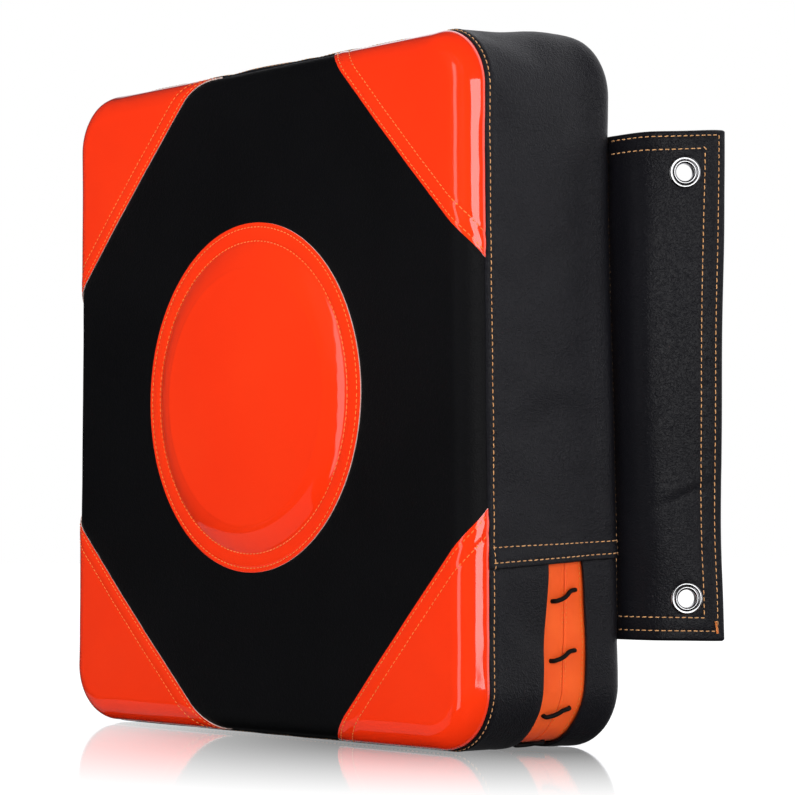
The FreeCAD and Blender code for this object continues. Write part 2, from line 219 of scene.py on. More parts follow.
def same_points(points):
    """The first of each set of points that coincide, and each point's set."""
    keys = np.round(points / WELD_STEP).astype(np.int64)
    _, first, where = np.unique(keys, axis=0, return_index=True, return_inverse=True)
    return first, where.ravel()


def renumbered(count, faces):
    """Which of the points the faces use, and the faces counted among those alone."""
    used = np.unique(faces)
    numbers = np.zeros(count, int)
    numbers[used] = np.arange(len(used))
    return used, numbers[faces]


def weld(points, faces):
    """Joins points that coincide, and drops the faces that this closes up."""
    first, where = same_points(points)
    made = []
    for f in faces:
        loop = [int(where[i]) for i in f]
        loop = [v for i, v in enumerate(loop) if v != loop[i - 1]]
        if len(set(loop)) == len(loop) and len(loop) > 2:
            made.append(loop)
    return points[first], made


def slab(top, bottom, keep=None, wrap=False, flip=False):
    """A closed sheet between two grids of points, open where keep is False."""
    rows, cols = top.shape[:2]
    last = cols if wrap else cols - 1
    if keep is None:
        keep = np.ones((rows - 1, last), bool)
    cells = grid_faces(rows, cols, wrap)[keep.ravel()]
    under = rows * cols
    faces = [cells, cells[:, ::-1] + under]
    loops = np.concatenate([cells[:, [0, 1]], cells[:, [1, 2]], cells[:, [2, 3]],
                            cells[:, [3, 0]]])
    code = loops[:, 0] * under + loops[:, 1]
    back = loops[:, 1] * under + loops[:, 0]
    rim = loops[~np.isin(code, back)]
    walls = np.stack([rim[:, 1], rim[:, 0], rim[:, 0] + under, rim[:, 1] + under], -1)
    faces = np.concatenate(faces + [walls])
    if flip:
        faces = faces[:, ::-1]
    is_wall = np.zeros(len(faces), int)
    is_wall[len(faces) - len(walls):] = 1
    points = np.concatenate([top.reshape(-1, 3), bottom.reshape(-1, 3)])
    used, faces = renumbered(len(points), faces)
    return points[used], faces, is_wall


def build(name, points, faces, materials, slots=None, smooth=True):
    """A mesh object from points in millimetres."""
    mesh = bpy.data.meshes.new(name)
    mesh.from_pydata((np.asarray(points) * MM).tolist(), [], [list(f) for f in faces])
    for m in materials:
        mesh.materials.append(m)
    if slots is not None:
        mesh.polygons.foreach_set("material_index", np.asarray(slots, np.int32))
    mesh.polygons.foreach_set("use_smooth", [smooth] * len(mesh.polygons))
    mesh.update()
    made = bpy.data.objects.new(name, mesh)
    bpy.context.scene.collection.objects.link(made)
    return made


def read_points(mesh):
    co = np.zeros(len(mesh.vertices) * 3)
    mesh.vertices.foreach_get("co", co)
    return co.reshape(-1, 3) / MM


def read_normals(mesh):
    n = np.zeros(len(mesh.vertices) * 3)
    mesh.vertices.foreach_get("normal", n)
    return n.reshape(-1, 3)


def write_points(mesh, points):
    mesh.vertices.foreach_set("co", (points * MM).ravel())
    mesh.update()


def apply_modifiers(made):
    bpy.context.view_layer.update()
    graph = bpy.context.evaluated_depsgraph_get()
    mesh = bpy.data.meshes.new_from_object(made.evaluated_get(graph))
    made.modifiers.clear()
    made.data = mesh
    mesh.set_sharp_from_angle(angle=math.radians(SHARP_ANGLE))
    return made


def thicken(made, amount, rim_slot=0):
    """Gives a sheet its thickness, inwards."""
    m = made.modifiers.new("thickness", "SOLIDIFY")
    m.thickness = amount * MM
    m.offset = -1
    m.material_offset_rim = rim_slot
    return apply_modifiers(made)


def triangles(faces):
    tris = []
    for f in faces:
        for i in range(1, len(f) - 1):
            tris.append((f[0], f[i], f[i + 1]))
    return np.array(tris)


# ---- Profiles of the cover -----------------------------------------------------------
def front_rim(rows, flat_step):
    """Inset and Y from the front seam, over the shoulder and on to the flat face."""
    turn = np.linspace(0, math.pi / 2, rows)
    inset = np.concatenate([[3.9, 2.7], SEAM_IN + SHOULDER_X * (1 - np.cos(turn))])
    y = np.concatenate([[FRONT_SEAM + 1.6, FRONT_SEAM + 0.6],
                        FRONT_SEAM - (FRONT_SEAM - PANEL_FACE) * np.sin(turn)])
    flat = spacing((inset[-1], CORNER, flat_step))[1:]
    return np.concatenate([inset, flat]), np.concatenate([y, np.full(len(flat), PANEL_FACE)])


def rear_rim(rows, flat_step):
    """Inset and Y from the rear seam to the flat back."""
    turn = np.linspace(0, math.pi / 2, rows)
    inset = np.concatenate([[7.0], 6.0 + 9.0 * (1 - np.cos(turn))])
    y = np.concatenate([[REAR_SEAM - 1.0], REAR_SEAM + (-REAR_SEAM - 0.1) * np.sin(turn)])
    flat = spacing((inset[-1], CORNER, flat_step))[1:]
    return np.concatenate([inset, flat]), np.concatenate([y, np.full(len(flat), -0.1)])


def panel(step, rim, flip=False):
    """A face of the pad: rings round its rim, and a plain grid inside them."""
    insets, ys = rim
    s = around(step)
    rings = place(s[None, :], insets[:, None], ys[:, None])
    n_x = max(1, round(SPINE_X / step)) * 2
    n_z = max(1, round(2 * SPINE_Z / step))
    x, z = np.meshgrid(np.linspace(-SPINE_X, SPINE_X, n_x + 1),
                       np.linspace(-SPINE_Z, SPINE_Z, n_z + 1), indexing="ij")
    inner = np.stack([x, np.full_like(x, ys[-1]), z], -1).reshape(-1, 3)
    count = rings.shape[0] * rings.shape[1]
    faces = np.concatenate([
        grid_faces(len(insets), len(s), wrap=True),
        grid_faces(n_x + 1, n_z + 1, flip=True) + count])
    if flip:
        faces = faces[:, ::-1]
    return np.concatenate([rings.reshape(-1, 3), inner]), faces


STRAIGHT = (-REAR_ROUND) - FRONT_SEAM
REAR_TURN = math.asin(1 + REAR_SEAM / REAR_ROUND)
GUSSET_RUN = STRAIGHT + REAR_ROUND * REAR_TURN


def gusset_rows():
    """Distances behind the front seam, close together near both seams."""
    run = GUSSET_RUN
    return spacing((0, 6, 0.55), (6, 12, 1.2), (12, run - 24, 3.0), (run - 24, run - 8, 1.6),
                   (run - 8, run, 0.6))


def gusset_profile(v):
    """Inset and Y of the gusset at a developed distance v behind the front seam."""
    turn = np.clip((v - STRAIGHT) / REAR_ROUND, 0, None)
    inset = REAR_ROUND * (1 - np.cos(turn))
    y = np.where(v < STRAIGHT, FRONT_SEAM + v, -REAR_ROUND + REAR_ROUND * np.sin(turn))
    back = GUSSET_RUN - v
    inset = inset + 2.6 * np.exp(-v / 1.5) + 1.2 * np.exp(-back / 1.4)
    inset = inset + 0.34 * (hump(v, SEAM_ROW, 0.8) + hump(back, SEAM_ROW, 0.8))
    inset = inset - 0.18 * (hump(v, SEAM_ROW + 2.4, 1.4) + hump(back, SEAM_ROW + 2.4, 1.4))
    return inset, y


def pucker(s, v):
    """Small gathers of the fabric beside the two seams."""
    near = np.exp(-v / 7.0) + np.exp(-(GUSSET_RUN - v) / 7.0)
    wave = np.sin(s / 1.9 + 1.3 * np.sin(s / 17.0)) * (0.6 + 0.4 * np.sin(s / 31.0))
    slow = np.sin(s / 9.0 + 2.0 * np.sin(s / 41.0))
    return (0.06 * wave + 0.14 * slow) * near


def hem_z(y):
    return HEM_FRONT + HEM_RISE / HEM_RUN * (y - FRONT_SEAM)


def hem_taper(y):
    """The hem narrows towards the rear, so its stitch rows draw together."""
    return 1 + 0.22 * ease(y, FRONT_SEAM, REAR_SEAM)


def hem_s(y):
    """Distance round the pad at which the right hem crosses a depth."""
    return RIGHT_START + hem_z(y) + SPINE_Z


# ---- The filling pushes the cover out -------------------------------------------------
SIM_STEP = 7.0
SIM_FRAMES = 20
TOP_BULGE, SIDE_BULGE, BOTTOM_BULGE, FACE_BULGE = 4.2, 3.4, 0.2, 1.7
SETTLE_FRONT, SETTLE_REAR = 3.0, 6.5
TOP_CREST = 4.6          # the top stands up towards the rear
REAR_FULL = 3.6          # the sides stand out just before the rear seam


def cover_blank():
    """The sewn cover as one closed mesh, and which of its points the seams hold."""
    s = around(SIM_STEP)
    front_points, front_faces = panel(SIM_STEP, front_rim(7, SIM_STEP))
    v = np.linspace(0, GUSSET_RUN, 15)
    inset, y = gusset_profile(v)
    inset[0], inset[-1] = 2.7, 6.0
    y[0], y[-1] = FRONT_SEAM + 0.6, REAR_SEAM
    side_points = place(s[None, :], inset[:, None], y[:, None]).reshape(-1, 3)
    side_faces = grid_faces(len(v), len(s), wrap=True, flip=True)
    back_points, back_faces = panel(SIM_STEP, rear_rim(3, SIM_STEP), flip=True)
    front_faces = front_faces[front_faces.min(axis=1) >= len(s)]
    back_faces = back_faces[back_faces.min(axis=1) >= len(s)]
    points = np.concatenate([front_points, side_points, back_points])
    faces = np.concatenate([front_faces, side_faces + len(front_points),
                            back_faces + len(front_points) + len(side_points)])
    held = np.zeros(len(points), bool)
    held[len(s):2 * len(s)] = True
    held[len(front_points):len(front_points) + len(s)] = True
    held[len(front_points) + len(side_points) - len(s):] = True
    used, faces = renumbered(len(points), faces)
    points, held = points[used], held[used]
    first, where = same_points(points)
    held_at = np.zeros(len(first), bool)
    np.logical_or.at(held_at, where, held)
    points, faces = weld(points, faces)
    return points, faces, held_at


def inflate(blank, held):
    """Cloth simulation of the cover under the filling's pressure, its seams held."""
    group = blank.vertex_groups.new(name="seams")
    group.add([int(i) for i in np.flatnonzero(held)], 1.0, "REPLACE")
    cloth = blank.modifiers.new("cloth", "CLOTH")
    settings = cloth.settings
    settings.quality = 5
    settings.mass = 0.3
    settings.tension_stiffness = 25
    settings.compression_stiffness = 25
    settings.shear_stiffness = 12
    settings.bending_stiffness = 1.5
    settings.shrink_min = -0.012
    settings.use_pressure = True
    settings.uniform_pressure_force = 4
    settings.vertex_group_mass = "seams"
    settings.effector_weights.gravity = 0
    cloth.point_cache.frame_start = 1
    cloth.point_cache.frame_end = SIM_FRAMES
    for number in range(1, SIM_FRAMES + 1):
        bpy.context.scene.frame_set(number)
    graph = bpy.context.evaluated_depsgraph_get()
    swollen = bpy.data.meshes.new_from_object(blank.evaluated_get(graph))
    blank.modifiers.clear()
    return read_points(swollen)


def bulge_limit(points, normals):
    """How far each point of the cover may swell."""
    side = SIDE_BULGE * np.ones(len(points))
    up = np.clip(normals[:, 2], -1, 1)
    side = side + (TOP_BULGE - SIDE_BULGE) * np.clip(up, 0, 1) ** 2
    side = side + (BOTTOM_BULGE - SIDE_BULGE) * np.clip(-up, 0, 1) ** 2
    face = np.clip(-normals[:, 1], 0, 1) ** 2
    return side * (1 - face) + FACE_BULGE * face


def subdivided(mesh_points, faces):
    made = build("subdivided", mesh_points, faces, [])
    m = made.modifiers.new("smooth", "SUBSURF")
    m.levels = m.render_levels = 2
    apply_modifiers(made)
    points = read_points(made.data)
    loops = [tuple(p.vertices) for p in made.data.polygons]
    bpy.data.objects.remove(made)
    return points, loops


def settled(points):
    """The filling has settled: the sides are fuller towards the bottom and the rear, and
    the top stays high nearly to the rear seam."""
    x, y, z = points.T
    out_x = np.clip(np.abs(x) - SPINE_X, 0, None)
    out_z = np.clip(np.abs(z) - SPINE_Z, 0, None)
    reach = np.maximum(np.hypot(out_x, out_z), 1.0)
    side_way, up_way = out_x / reach, out_z / reach
    low = ease(-z, -160, 110)
    rear = ease(y, FRONT_SEAM, REAR_SEAM)
    side = np.where(x > 0, 1.0, 0.35) * np.sign(x) * ease(np.abs(x), 60, HALF_W - 8)
    full = hump(y, -15, 9.0) * side_way * ease(reach, 14, 34)
    crest = hump(y, -27, 24.0) * (z > 0) * up_way * ease(reach, 14, 34)
    moved = points.copy()
    moved[:, 0] += side * low * (SETTLE_FRONT + (SETTLE_REAR - SETTLE_FRONT) * rear ** 2.5)
    moved[:, 0] += np.sign(x) * (REAR_FULL * full * side_way + TOP_CREST * crest * side_way)
    moved[:, 1] += 1.6 * full
    moved[:, 2] += np.sign(z) * REAR_FULL * full * up_way + TOP_CREST * crest * up_way
    return moved


class Swell:
    """Moves points of the sewn cover by what the filling pushes it out there."""

    def __init__(self):
        points, faces, held = cover_blank()
        blank = build("cover_blank", points, faces, [])
        normals = read_normals(blank.data)
        moved = inflate(blank, held) - points
        raw = np.einsum("ij,ij->i", moved, normals)
        bpy.data.objects.remove(blank)
        face = -normals[:, 1] > 0.7
        side = np.abs(normals[:, 1]) < 0.5
        share = np.zeros(len(points))
        for part in (face, ~face):
            top = np.percentile(raw[part & (side | face)], 97)
            share[part] = np.clip(raw[part] / max(top, 1e-6), -0.2, 1.25)
        share[held] = 0
        push = normals * (share * bulge_limit(points, normals))[:, None]
        push[normals[:, 1] > 0.9] = 0
        rest, loops = subdivided(points, faces)
        full, _ = subdivided(points + push, faces)
        self.move = full - rest
        self.rest = rest
        self.tris = triangles(loops)
        self.tree = BVHTree.FromPolygons(rest.tolist(), self.tris.tolist())

    def at(self, points):
        flat = points.reshape(-1, 3)
        found = [self.tree.find_nearest(Vector(p)) for p in flat.tolist()]
        near = np.array([f[0] for f in found])
        tri = self.tris[[f[2] for f in found]]
        a, b, c = self.rest[tri[:, 0]], self.rest[tri[:, 1]], self.rest[tri[:, 2]]
        n = np.cross(b - a, c - a)
        size = np.maximum(np.einsum("ij,ij->i", n, n), 1e-12)
        wa = np.einsum("ij,ij->i", np.cross(c - b, near - b), n) / size
        wb = np.einsum("ij,ij->i", np.cross(a - c, near - c), n) / size
        wc = 1 - wa - wb
        moved = (self.move[tri[:, 0]] * wa[:, None] + self.move[tri[:, 1]] * wb[:, None]
                 + self.move[tri[:, 2]] * wc[:, None])
        return settled(flat + moved).reshape(points.shape)


# ---- Materials ------------------------------------------------------------------------
def add_node(tree, kind, **inputs):
    """A new shader node. Each input is a value, or another node's output to link. Inputs
    go by name, with _ for a space, or as i0, i1, i2 by number."""
    made = tree.nodes.new("ShaderNode" + kind)
    for key, value in inputs.items():
        by_number = key[0] == "i" and key[1:].isdigit()
        socket = made.inputs[int(key[1:]) if by_number else key.replace("_", " ")]
        if isinstance(value, bpy.types.NodeSocket):
            tree.links.new(value, socket)
        else:
            socket.default_value = value
    return made


class Paint:
    """A material with short calls for the nodes that these surfaces share."""

    def __init__(self, name):
        self.material = bpy.data.materials.new(name)
        self.material.use_nodes = True
        self.tree = self.material.node_tree
        self.shader = self.tree.nodes["Principled BSDF"]
        self.place = self.add("TexCoord").outputs["Object"]

    def add(self, kind, **inputs):
        return add_node(self.tree, kind, **inputs)

    def link(self, output, name):
        self.tree.links.new(output, self.shader.inputs[name])

    def set(self, **values):
        for key, value in values.items():
            self.shader.inputs[key.replace("_", " ")].default_value = value

    def noise(self, scale, detail=4.0, stretch=(1, 1, 1)):
        at = self.add("Mapping", Scale=stretch, Vector=self.place).outputs["Vector"]
        return self.add("TexNoise", Scale=scale, Detail=detail, Vector=at).outputs["Fac"]

    def cells(self, scale, warp=0.0):
        at = self.place
        if warp:
            wobble = self.add("TexNoise", Scale=scale * 0.4, Vector=at).outputs["Color"]
            bent = self.add("MixRGB", Fac=warp, Color1=at, Color2=wobble)
            bent.blend_type = "LINEAR_LIGHT"
            at = bent.outputs["Color"]
        made = self.add("TexVoronoi", Scale=scale, Vector=at)
        made.feature = "SMOOTH_F1"
        made.inputs["Smoothness"].default_value = 0.6
        return made.outputs["Distance"]

    def wave(self, scale, direction, distortion=0.0):
        made = self.add("TexWave", Scale=scale, Distortion=distortion, Vector=self.place)
        made.bands_direction = direction
        return made.outputs["Fac"]

    def math(self, how, a, b):
        made = self.add("Math", i0=a, i1=b)
        made.operation = how
        return made.outputs[0]

    def mixed(self, a, share, b):
        """Two patterns added, a by its share and b by the rest."""
        return self.math("ADD", self.math("MULTIPLY", a, share),
                         self.math("MULTIPLY", b, 1 - share))

    def colours(self, fac, *stops):
        made = self.add("ValToRGB", Fac=fac)
        for element, (position, colour) in zip(made.color_ramp.elements, stops):
            element.position = position
            element.color = (*colour, 1)
        return made.outputs["Color"]

    def base(self, colour):
        self.link(colour, "Base Color")

    def rough(self, fac, low, high):
        made = self.add("MapRange", Value=fac, To_Min=low, To_Max=high)
        self.link(made.outputs["Result"], "Roughness")

    def bumps(self, *layers):
        """Layers of (height, strength, distance in millimetres), one on the other."""
        last = {}
        for height, strength, distance in layers:
            made = self.add("Bump", Strength=strength, Distance=distance * MM, Height=height,
                            **last)
            last = {"Normal": made.outputs["Normal"]}
        self.link(last["Normal"], "Normal")


def shade(colour, amount):
    return tuple(c * amount for c in colour)


def leatherette(name, colour, rough, grain=1.0, specular=0.35):
    """Black coated fabric with a fine pebbled grain."""
    p = Paint(name)
    patchy = p.noise(9.0, 3.0)
    fine = p.noise(420.0, 3.0)
    pebble = p.cells(780.0, 0.004)
    p.base(p.colours(p.mixed(patchy, 0.7, fine),
                     (0.3, shade(colour, 0.82)), (0.7, shade(colour, 1.2))))
    p.rough(p.mixed(pebble, 0.5, patchy), rough - 0.05, rough + 0.09)
    p.set(Specular_IOR_Level=specular)
    p.bumps((pebble, min(1.0, 0.5 * grain), 0.30), (fine, 0.25 * grain, 0.12),
            (p.noise(55.0, 2.0), 0.15, 0.5))
    return p.material


def glossy_orange(name):
    """Patent coated fabric: saturated colour under a clear, slightly wavy gloss."""
    p = Paint(name)
    patchy = p.noise(7.0, 3.0)
    p.base(p.colours(patchy, (0.3, (0.97, 0.034, 0.0035)), (0.7, (1.0, 0.044, 0.005))))
    p.rough(p.noise(60.0, 2.0), 0.055, 0.10)
    p.set(Specular_IOR_Level=0.5, Coat_Weight=1.0, Coat_Roughness=0.03, Coat_IOR=1.6)
    p.bumps((p.noise(30.0, 2.0), 0.10, 0.35), (p.noise(240.0, 2.0), 0.05, 0.05))
    return p.material


def cut_edge(name):
    """The pale fabric core that shows where the glossy fabric is cut."""
    p = Paint(name)
    fibre = p.noise(900.0, 4.0)
    p.base(p.colours(fibre, (0.3, (0.62, 0.42, 0.36)), (0.7, (0.90, 0.74, 0.68))))
    p.rough(fibre, 0.75, 0.95)
    p.bumps((fibre, 0.5, 0.08))
    return p.material


def tape_weave(name):
    """Satin ribbon tape with fine ribs."""
    p = Paint(name)
    ribs = p.wave(520.0, "Z", 0.6)
    cross = p.wave(430.0, "Y", 0.8)
    tone = p.noise(35.0, 4.0)
    p.base(p.colours(p.mixed(tone, 0.7, ribs),
                     (0.25, (0.88, 0.085, 0.008)), (0.75, (1.0, 0.14, 0.018))))
    p.rough(cross, 0.42, 0.6)
    p.set(Sheen_Weight=0.05, Sheen_Roughness=0.4, Specular_IOR_Level=0.25)
    p.bumps((ribs, 0.35, 0.10), (cross, 0.25, 0.08), (p.noise(90.0, 3.0), 0.25, 0.35))
    return p.material


def thread(name, dark, light):
    """Twisted sewing thread."""
    p = Paint(name)
    fibre = p.noise(1500.0, 3.0)
    p.base(p.colours(p.mixed(p.noise(60.0, 2.0), 0.6, fibre), (0.3, dark), (0.7, light)))
    p.rough(fibre, 0.45, 0.65)
    p.set(Sheen_Weight=0.3)
    p.bumps((p.wave(900.0, "DIAGONAL", 1.0), 0.5, 0.1))
    return p.material


def cord_black(name):
    p = Paint(name)
    braid = p.math("MULTIPLY", p.wave(620.0, "DIAGONAL", 0.5), p.wave(560.0, "Y", 0.5))
    p.base(p.colours(braid, (0.1, (0.002, 0.002, 0.002)), (0.9, (0.011, 0.011, 0.012))))
    p.rough(braid, 0.55, 0.8)
    p.set(Specular_IOR_Level=0.25)
    p.bumps((braid, 0.7, 0.2))
    return p.material


def nickel(name):
    """Polished nickel plate with a few faint turning marks."""
    p = Paint(name)
    marks = p.noise(600.0, 3.0, (1, 1, 0.15))
    p.base(p.colours(marks, (0.3, (0.50, 0.50, 0.51)), (0.7, (0.60, 0.60, 0.61))))
    p.set(Metallic=1.0)
    p.rough(marks, 0.12, 0.22)
    p.bumps((marks, 0.05, 0.03), (p.noise(110.0, 2.0), 0.08, 0.1))
    return p.material


def foam(name, colour):
    p = Paint(name)
    bubbles = p.cells(700.0)
    p.base(p.colours(p.noise(50.0, 4.0), (0.3, shade(colour, 0.8)), (0.7, colour)))
    p.rough(bubbles, 0.85, 0.98)
    p.bumps((bubbles, 0.8, 0.3))
    return p.material


def canvas(name, colour):
    p = Paint(name)
    weave = p.math("MAXIMUM", p.wave(380.0, "X", 0.3), p.wave(380.0, "Z", 0.3))
    p.base(p.colours(weave, (0.2, shade(colour, 0.5)), (0.8, colour)))
    p.rough(weave, 0.8, 0.95)
    p.bumps((weave, 0.6, 0.2))
    return p.material


FRONT_BLACK = leatherette("front_leatherette", (0.0034, 0.0034, 0.0040), 0.50, 1.3, 0.16)
SIDE_BLACK = leatherette("side_leatherette", (0.0070, 0.0068, 0.0092), 0.42, 2.0, 0.30)
FLAP_BLACK = leatherette("flap_leatherette", (0.0050, 0.0049, 0.0068), 0.36, 1.8, 0.26)
BACK_BLACK = leatherette("back_leatherette", (0.008, 0.008, 0.009), 0.55, 1.6, 0.25)
ORANGE = glossy_orange("patent_orange")
CUT_EDGE = cut_edge("patent_cut_edge")
TAPE = tape_weave("satin_tape")
THREAD_TAN = thread("thread_tan", (0.50, 0.22, 0.07), (0.80, 0.42, 0.16))
THREAD_ORANGE = thread("thread_orange", (0.70, 0.17, 0.015), (0.92, 0.30, 0.035))
LACE = cord_black("lace_cord")
NICKEL = nickel("nickel_plate")
SOFT_FOAM = foam("foam_soft", (0.62, 0.58, 0.46))
DENSE_FOAM = foam("foam_dense", (0.30, 0.34, 0.40))
LINING = canvas("lining_canvas", (0.05, 0.05, 0.055))


# ---- Pieces ------------------------------------------------------------------------------
def finish_piece(made, body, slot_name, *stands_for):
    if body:
        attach(made, body)
    if stands_for:
        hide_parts(*stands_for)
    return made


def face_ripple(points):
    """Slow unevenness of the struck face."""
    x, _, z = points.T
    return 0.25 * np.sin(x / 23.0 + np.sin(z / 31.0)) * np.sin(z / 27.0 + 0.6 * np.sin(x / 19.0))


def front_panel():
    points, faces = weld(*panel(3.0, front_rim(16, 2.4)))
    points = SWELL.at(points)
    made = build("front_panel_cover", points, faces, [FRONT_BLACK])
    normals = read_normals(made.data)
    write_points(made.data, points + normals * (face_ripple(points) * 0.5)[:, None])
    thicken(made, SKIN)
    return finish_piece(made, "pad", "front_cover", "front_panel")


def shoulder():
    """Developed distance in from the flat's edge, with the inset and Y found there."""
    turn = np.linspace(math.pi / 2, 0, 90)
    inset = SEAM_IN + SHOULDER_X * (1 - np.cos(turn))
    y = FRONT_SEAM - (FRONT_SEAM - PANEL_FACE) * np.sin(turn)
    run = np.concatenate([[0], np.cumsum(np.hypot(np.diff(inset), np.diff(y)))])
    inset, y = np.append(inset, 3.9), np.append(y, FRONT_SEAM + 1.6)
    return np.append(run, run[-1] + 2.5), inset, y


FLAT_INSET = SEAM_IN + SHOULDER_X


def developed(points):
    """X and Z of the front panel as cut, before its shoulder is bent round."""
    run, _, bent_y = shoulder()
    x, y, z = points.T
    out_x = np.clip(np.abs(x) - SPINE_X, 0, None)
    out_z = np.clip(np.abs(z) - SPINE_Z, 0, None)
    reach = np.hypot(out_x, out_z)
    extra = CORNER - FLAT_INSET + np.interp(y, bent_y, run)
    grow = np.where(reach > CORNER - FLAT_INSET - 1e-3, extra / np.maximum(reach, 1e-6), 1.0)
    new_x = np.sign(x) * (np.minimum(np.abs(x), SPINE_X) + out_x * grow)
    new_z = np.sign(z) * (np.minimum(np.abs(z), SPINE_Z) + out_z * grow)
    return new_x, new_z


def undeveloped(x, z):
    """The point of the bent front panel for a place on the flat one."""
    run, bent, bent_y = shoulder()
    over_x = np.abs(x) - (HALF_W - FLAT_INSET)
    over_z = np.abs(z) - (HALF_H - FLAT_INSET)
    over = np.maximum(over_x, over_z)
    inset = np.interp(over, run, bent)
    new_x = np.where(over_x > 0, np.sign(x) * (HALF_W - inset), x)
    new_z = np.where(over_z > 0, np.sign(z) * (HALF_H - inset), z)
    y = np.interp(over, run, bent_y, left=PANEL_FACE)
    return np.stack([new_x, y, new_z], -1)


def patch_edge(x, z, side, up, leg_x, leg_z):
    """Distance inside a corner patch's cut edge."""
    a = np.array([side * (HALF_W - leg_x), up * HALF_H])
    b = np.array([side * HALF_W, up * (HALF_H - leg_z)])
    along = (b - a) / np.linalg.norm(b - a)
    inward = np.array([-along[1], along[0]])
    if inward @ np.array([side, up]) < 0:
        inward = -inward
    return (x - a[0]) * inward[0] + (z - a[1]) * inward[1], a, b, inward


def keep_faces(points, faces, wanted):
    """The faces with a wanted corner, and only their points."""
    faces = faces[wanted[faces].any(axis=1)]
    used = np.unique(faces)
    renumber = np.zeros(len(points), int)
    renumber[used] = np.arange(len(used))
    return points[used], renumber[faces]


def corner_patch(name, blank, sizes):
    points, faces = blank
    x, z = developed(points)
    distance = patch_edge(x, z, *sizes)[0]
    points, faces = weld(*keep_faces(points, faces, distance > 0))
    x, z = developed(points)
    distance, a, b, inward = patch_edge(x, z, *sizes)
    # Points just outside the cut slide back on to it.
    back = np.clip(-distance, 0, None)
    moved = undeveloped(x + inward[0] * back, z + inward[1] * back)
    points[distance < 0] = moved[distance < 0]
    distance = np.clip(distance, 0, None)
    made = build("corner_patch_" + name, points, faces, [ORANGE, CUT_EDGE])
    points = SWELL.at(points)
    write_points(made.data, points)
    normals = read_normals(made.data)
    lift = np.full(len(points), PATCH_SKIN)
    for row in PATCH_ROWS:
        lift -= 0.24 * hump(distance, row, 0.85)
    lift += 0.16 * hump(distance, sum(PATCH_ROWS) / 2, 2.0)
    lift -= 0.30 * np.exp(-distance / 0.5)
    lift += 0.30 * face_ripple(points)
    write_points(made.data, points + normals * lift[:, None])
    thicken(made, PATCH_SKIN, rim_slot=1)
    return finish_piece(made, "pad", "glossy_orange", "corner_patch_" + name)


def disc_height(r):
    """Height of the disc above its flat rim."""
    share = np.clip((CROWN_FOOT - r) / (CROWN_FOOT - CROWN_TOP), 0, 1)
    rise = CROWN_RISE * (1.6 * share - 0.6 * share ** 2)
    dome = 0.7 * (1 - np.clip(r / CROWN_TOP, 0, 1) ** 2) + 0.2 * ease(CROWN_TOP - r, -1.5, 1.5)
    edge = DISC_RADIUS - r
    groove = sum(0.30 * hump(edge, row, 0.85) for row in DISC_ROWS)
    return rise + dome - groove + 0.14 * hump(edge, 6.8, 2.2) - 0.3 * np.exp(-edge / 0.5)


def target_disc():
    r = spacing((0, 70, 5.0), (70, 80, 0.5), (80, 90, 1.0), (90, 93, 0.4), (93, DISC_RADIUS, 0.6))
    a = np.linspace(0, 2 * math.pi, 360, endpoint=False)
    rr, aa = np.meshgrid(r, a, indexing="ij")
    flat = np.stack([rr * np.cos(aa), np.full_like(rr, PANEL_FACE), rr * np.sin(aa)], -1)
    base = SWELL.at(flat)
    ripple = face_ripple(base.reshape(-1, 3)).reshape(rr.shape) * 0.5
    base[..., 1] -= ripple
    # A few gathers where the crown meets its rim.
    gather = 0.04 * hump(rr, CROWN_FOOT - 2, 5.0) * np.sin(aa * 41 + 3 * np.sin(aa * 5))
    top = base.copy()
    top[..., 1] -= PATCH_SKIN + disc_height(rr) + gather
    under = base.copy()
    under[..., 1] -= 0.02 + np.clip(disc_height(rr), 0, None) * (rr < CROWN_FOOT)
    points, faces, wall = slab(top, under, wrap=True, flip=False)
    keep = points[faces].std(axis=1).sum(axis=1) > 0
    made = build("target_disc_cover", points, faces[keep], [ORANGE, CUT_EDGE], wall[keep])
    tidy_mesh(made)
    return finish_piece(made, "pad", "glossy_orange", "target_disc")


def tidy_mesh(made):
    """Merges the points that meet, and turns every face outwards."""
    b_mesh = bmesh.new()
    b_mesh.from_mesh(made.data)
    bmesh.ops.remove_doubles(b_mesh, verts=b_mesh.verts[:], dist=1e-6)
    bmesh.ops.recalc_face_normals(b_mesh, faces=b_mesh.faces[:])
    b_mesh.to_mesh(made.data)
    b_mesh.free()
    made.data.set_sharp_from_angle(angle=math.radians(50))
    return made


def sheet_piece(name, top, inward, thickness, material, body, slot_name, *stands_for):
    """A closed sheet of fabric with its outer face at top."""
    points, faces, _ = slab(top, top + inward * thickness)
    made = tidy_mesh(build(name, points, faces, [material]))
    return finish_piece(made, body, slot_name, *stands_for)


def inward_of(s):
    """The direction into the pad, at distances round it."""
    _, _, nx, nz = spine(s)
    return -np.stack([nx, np.zeros_like(nx), nz], -1)


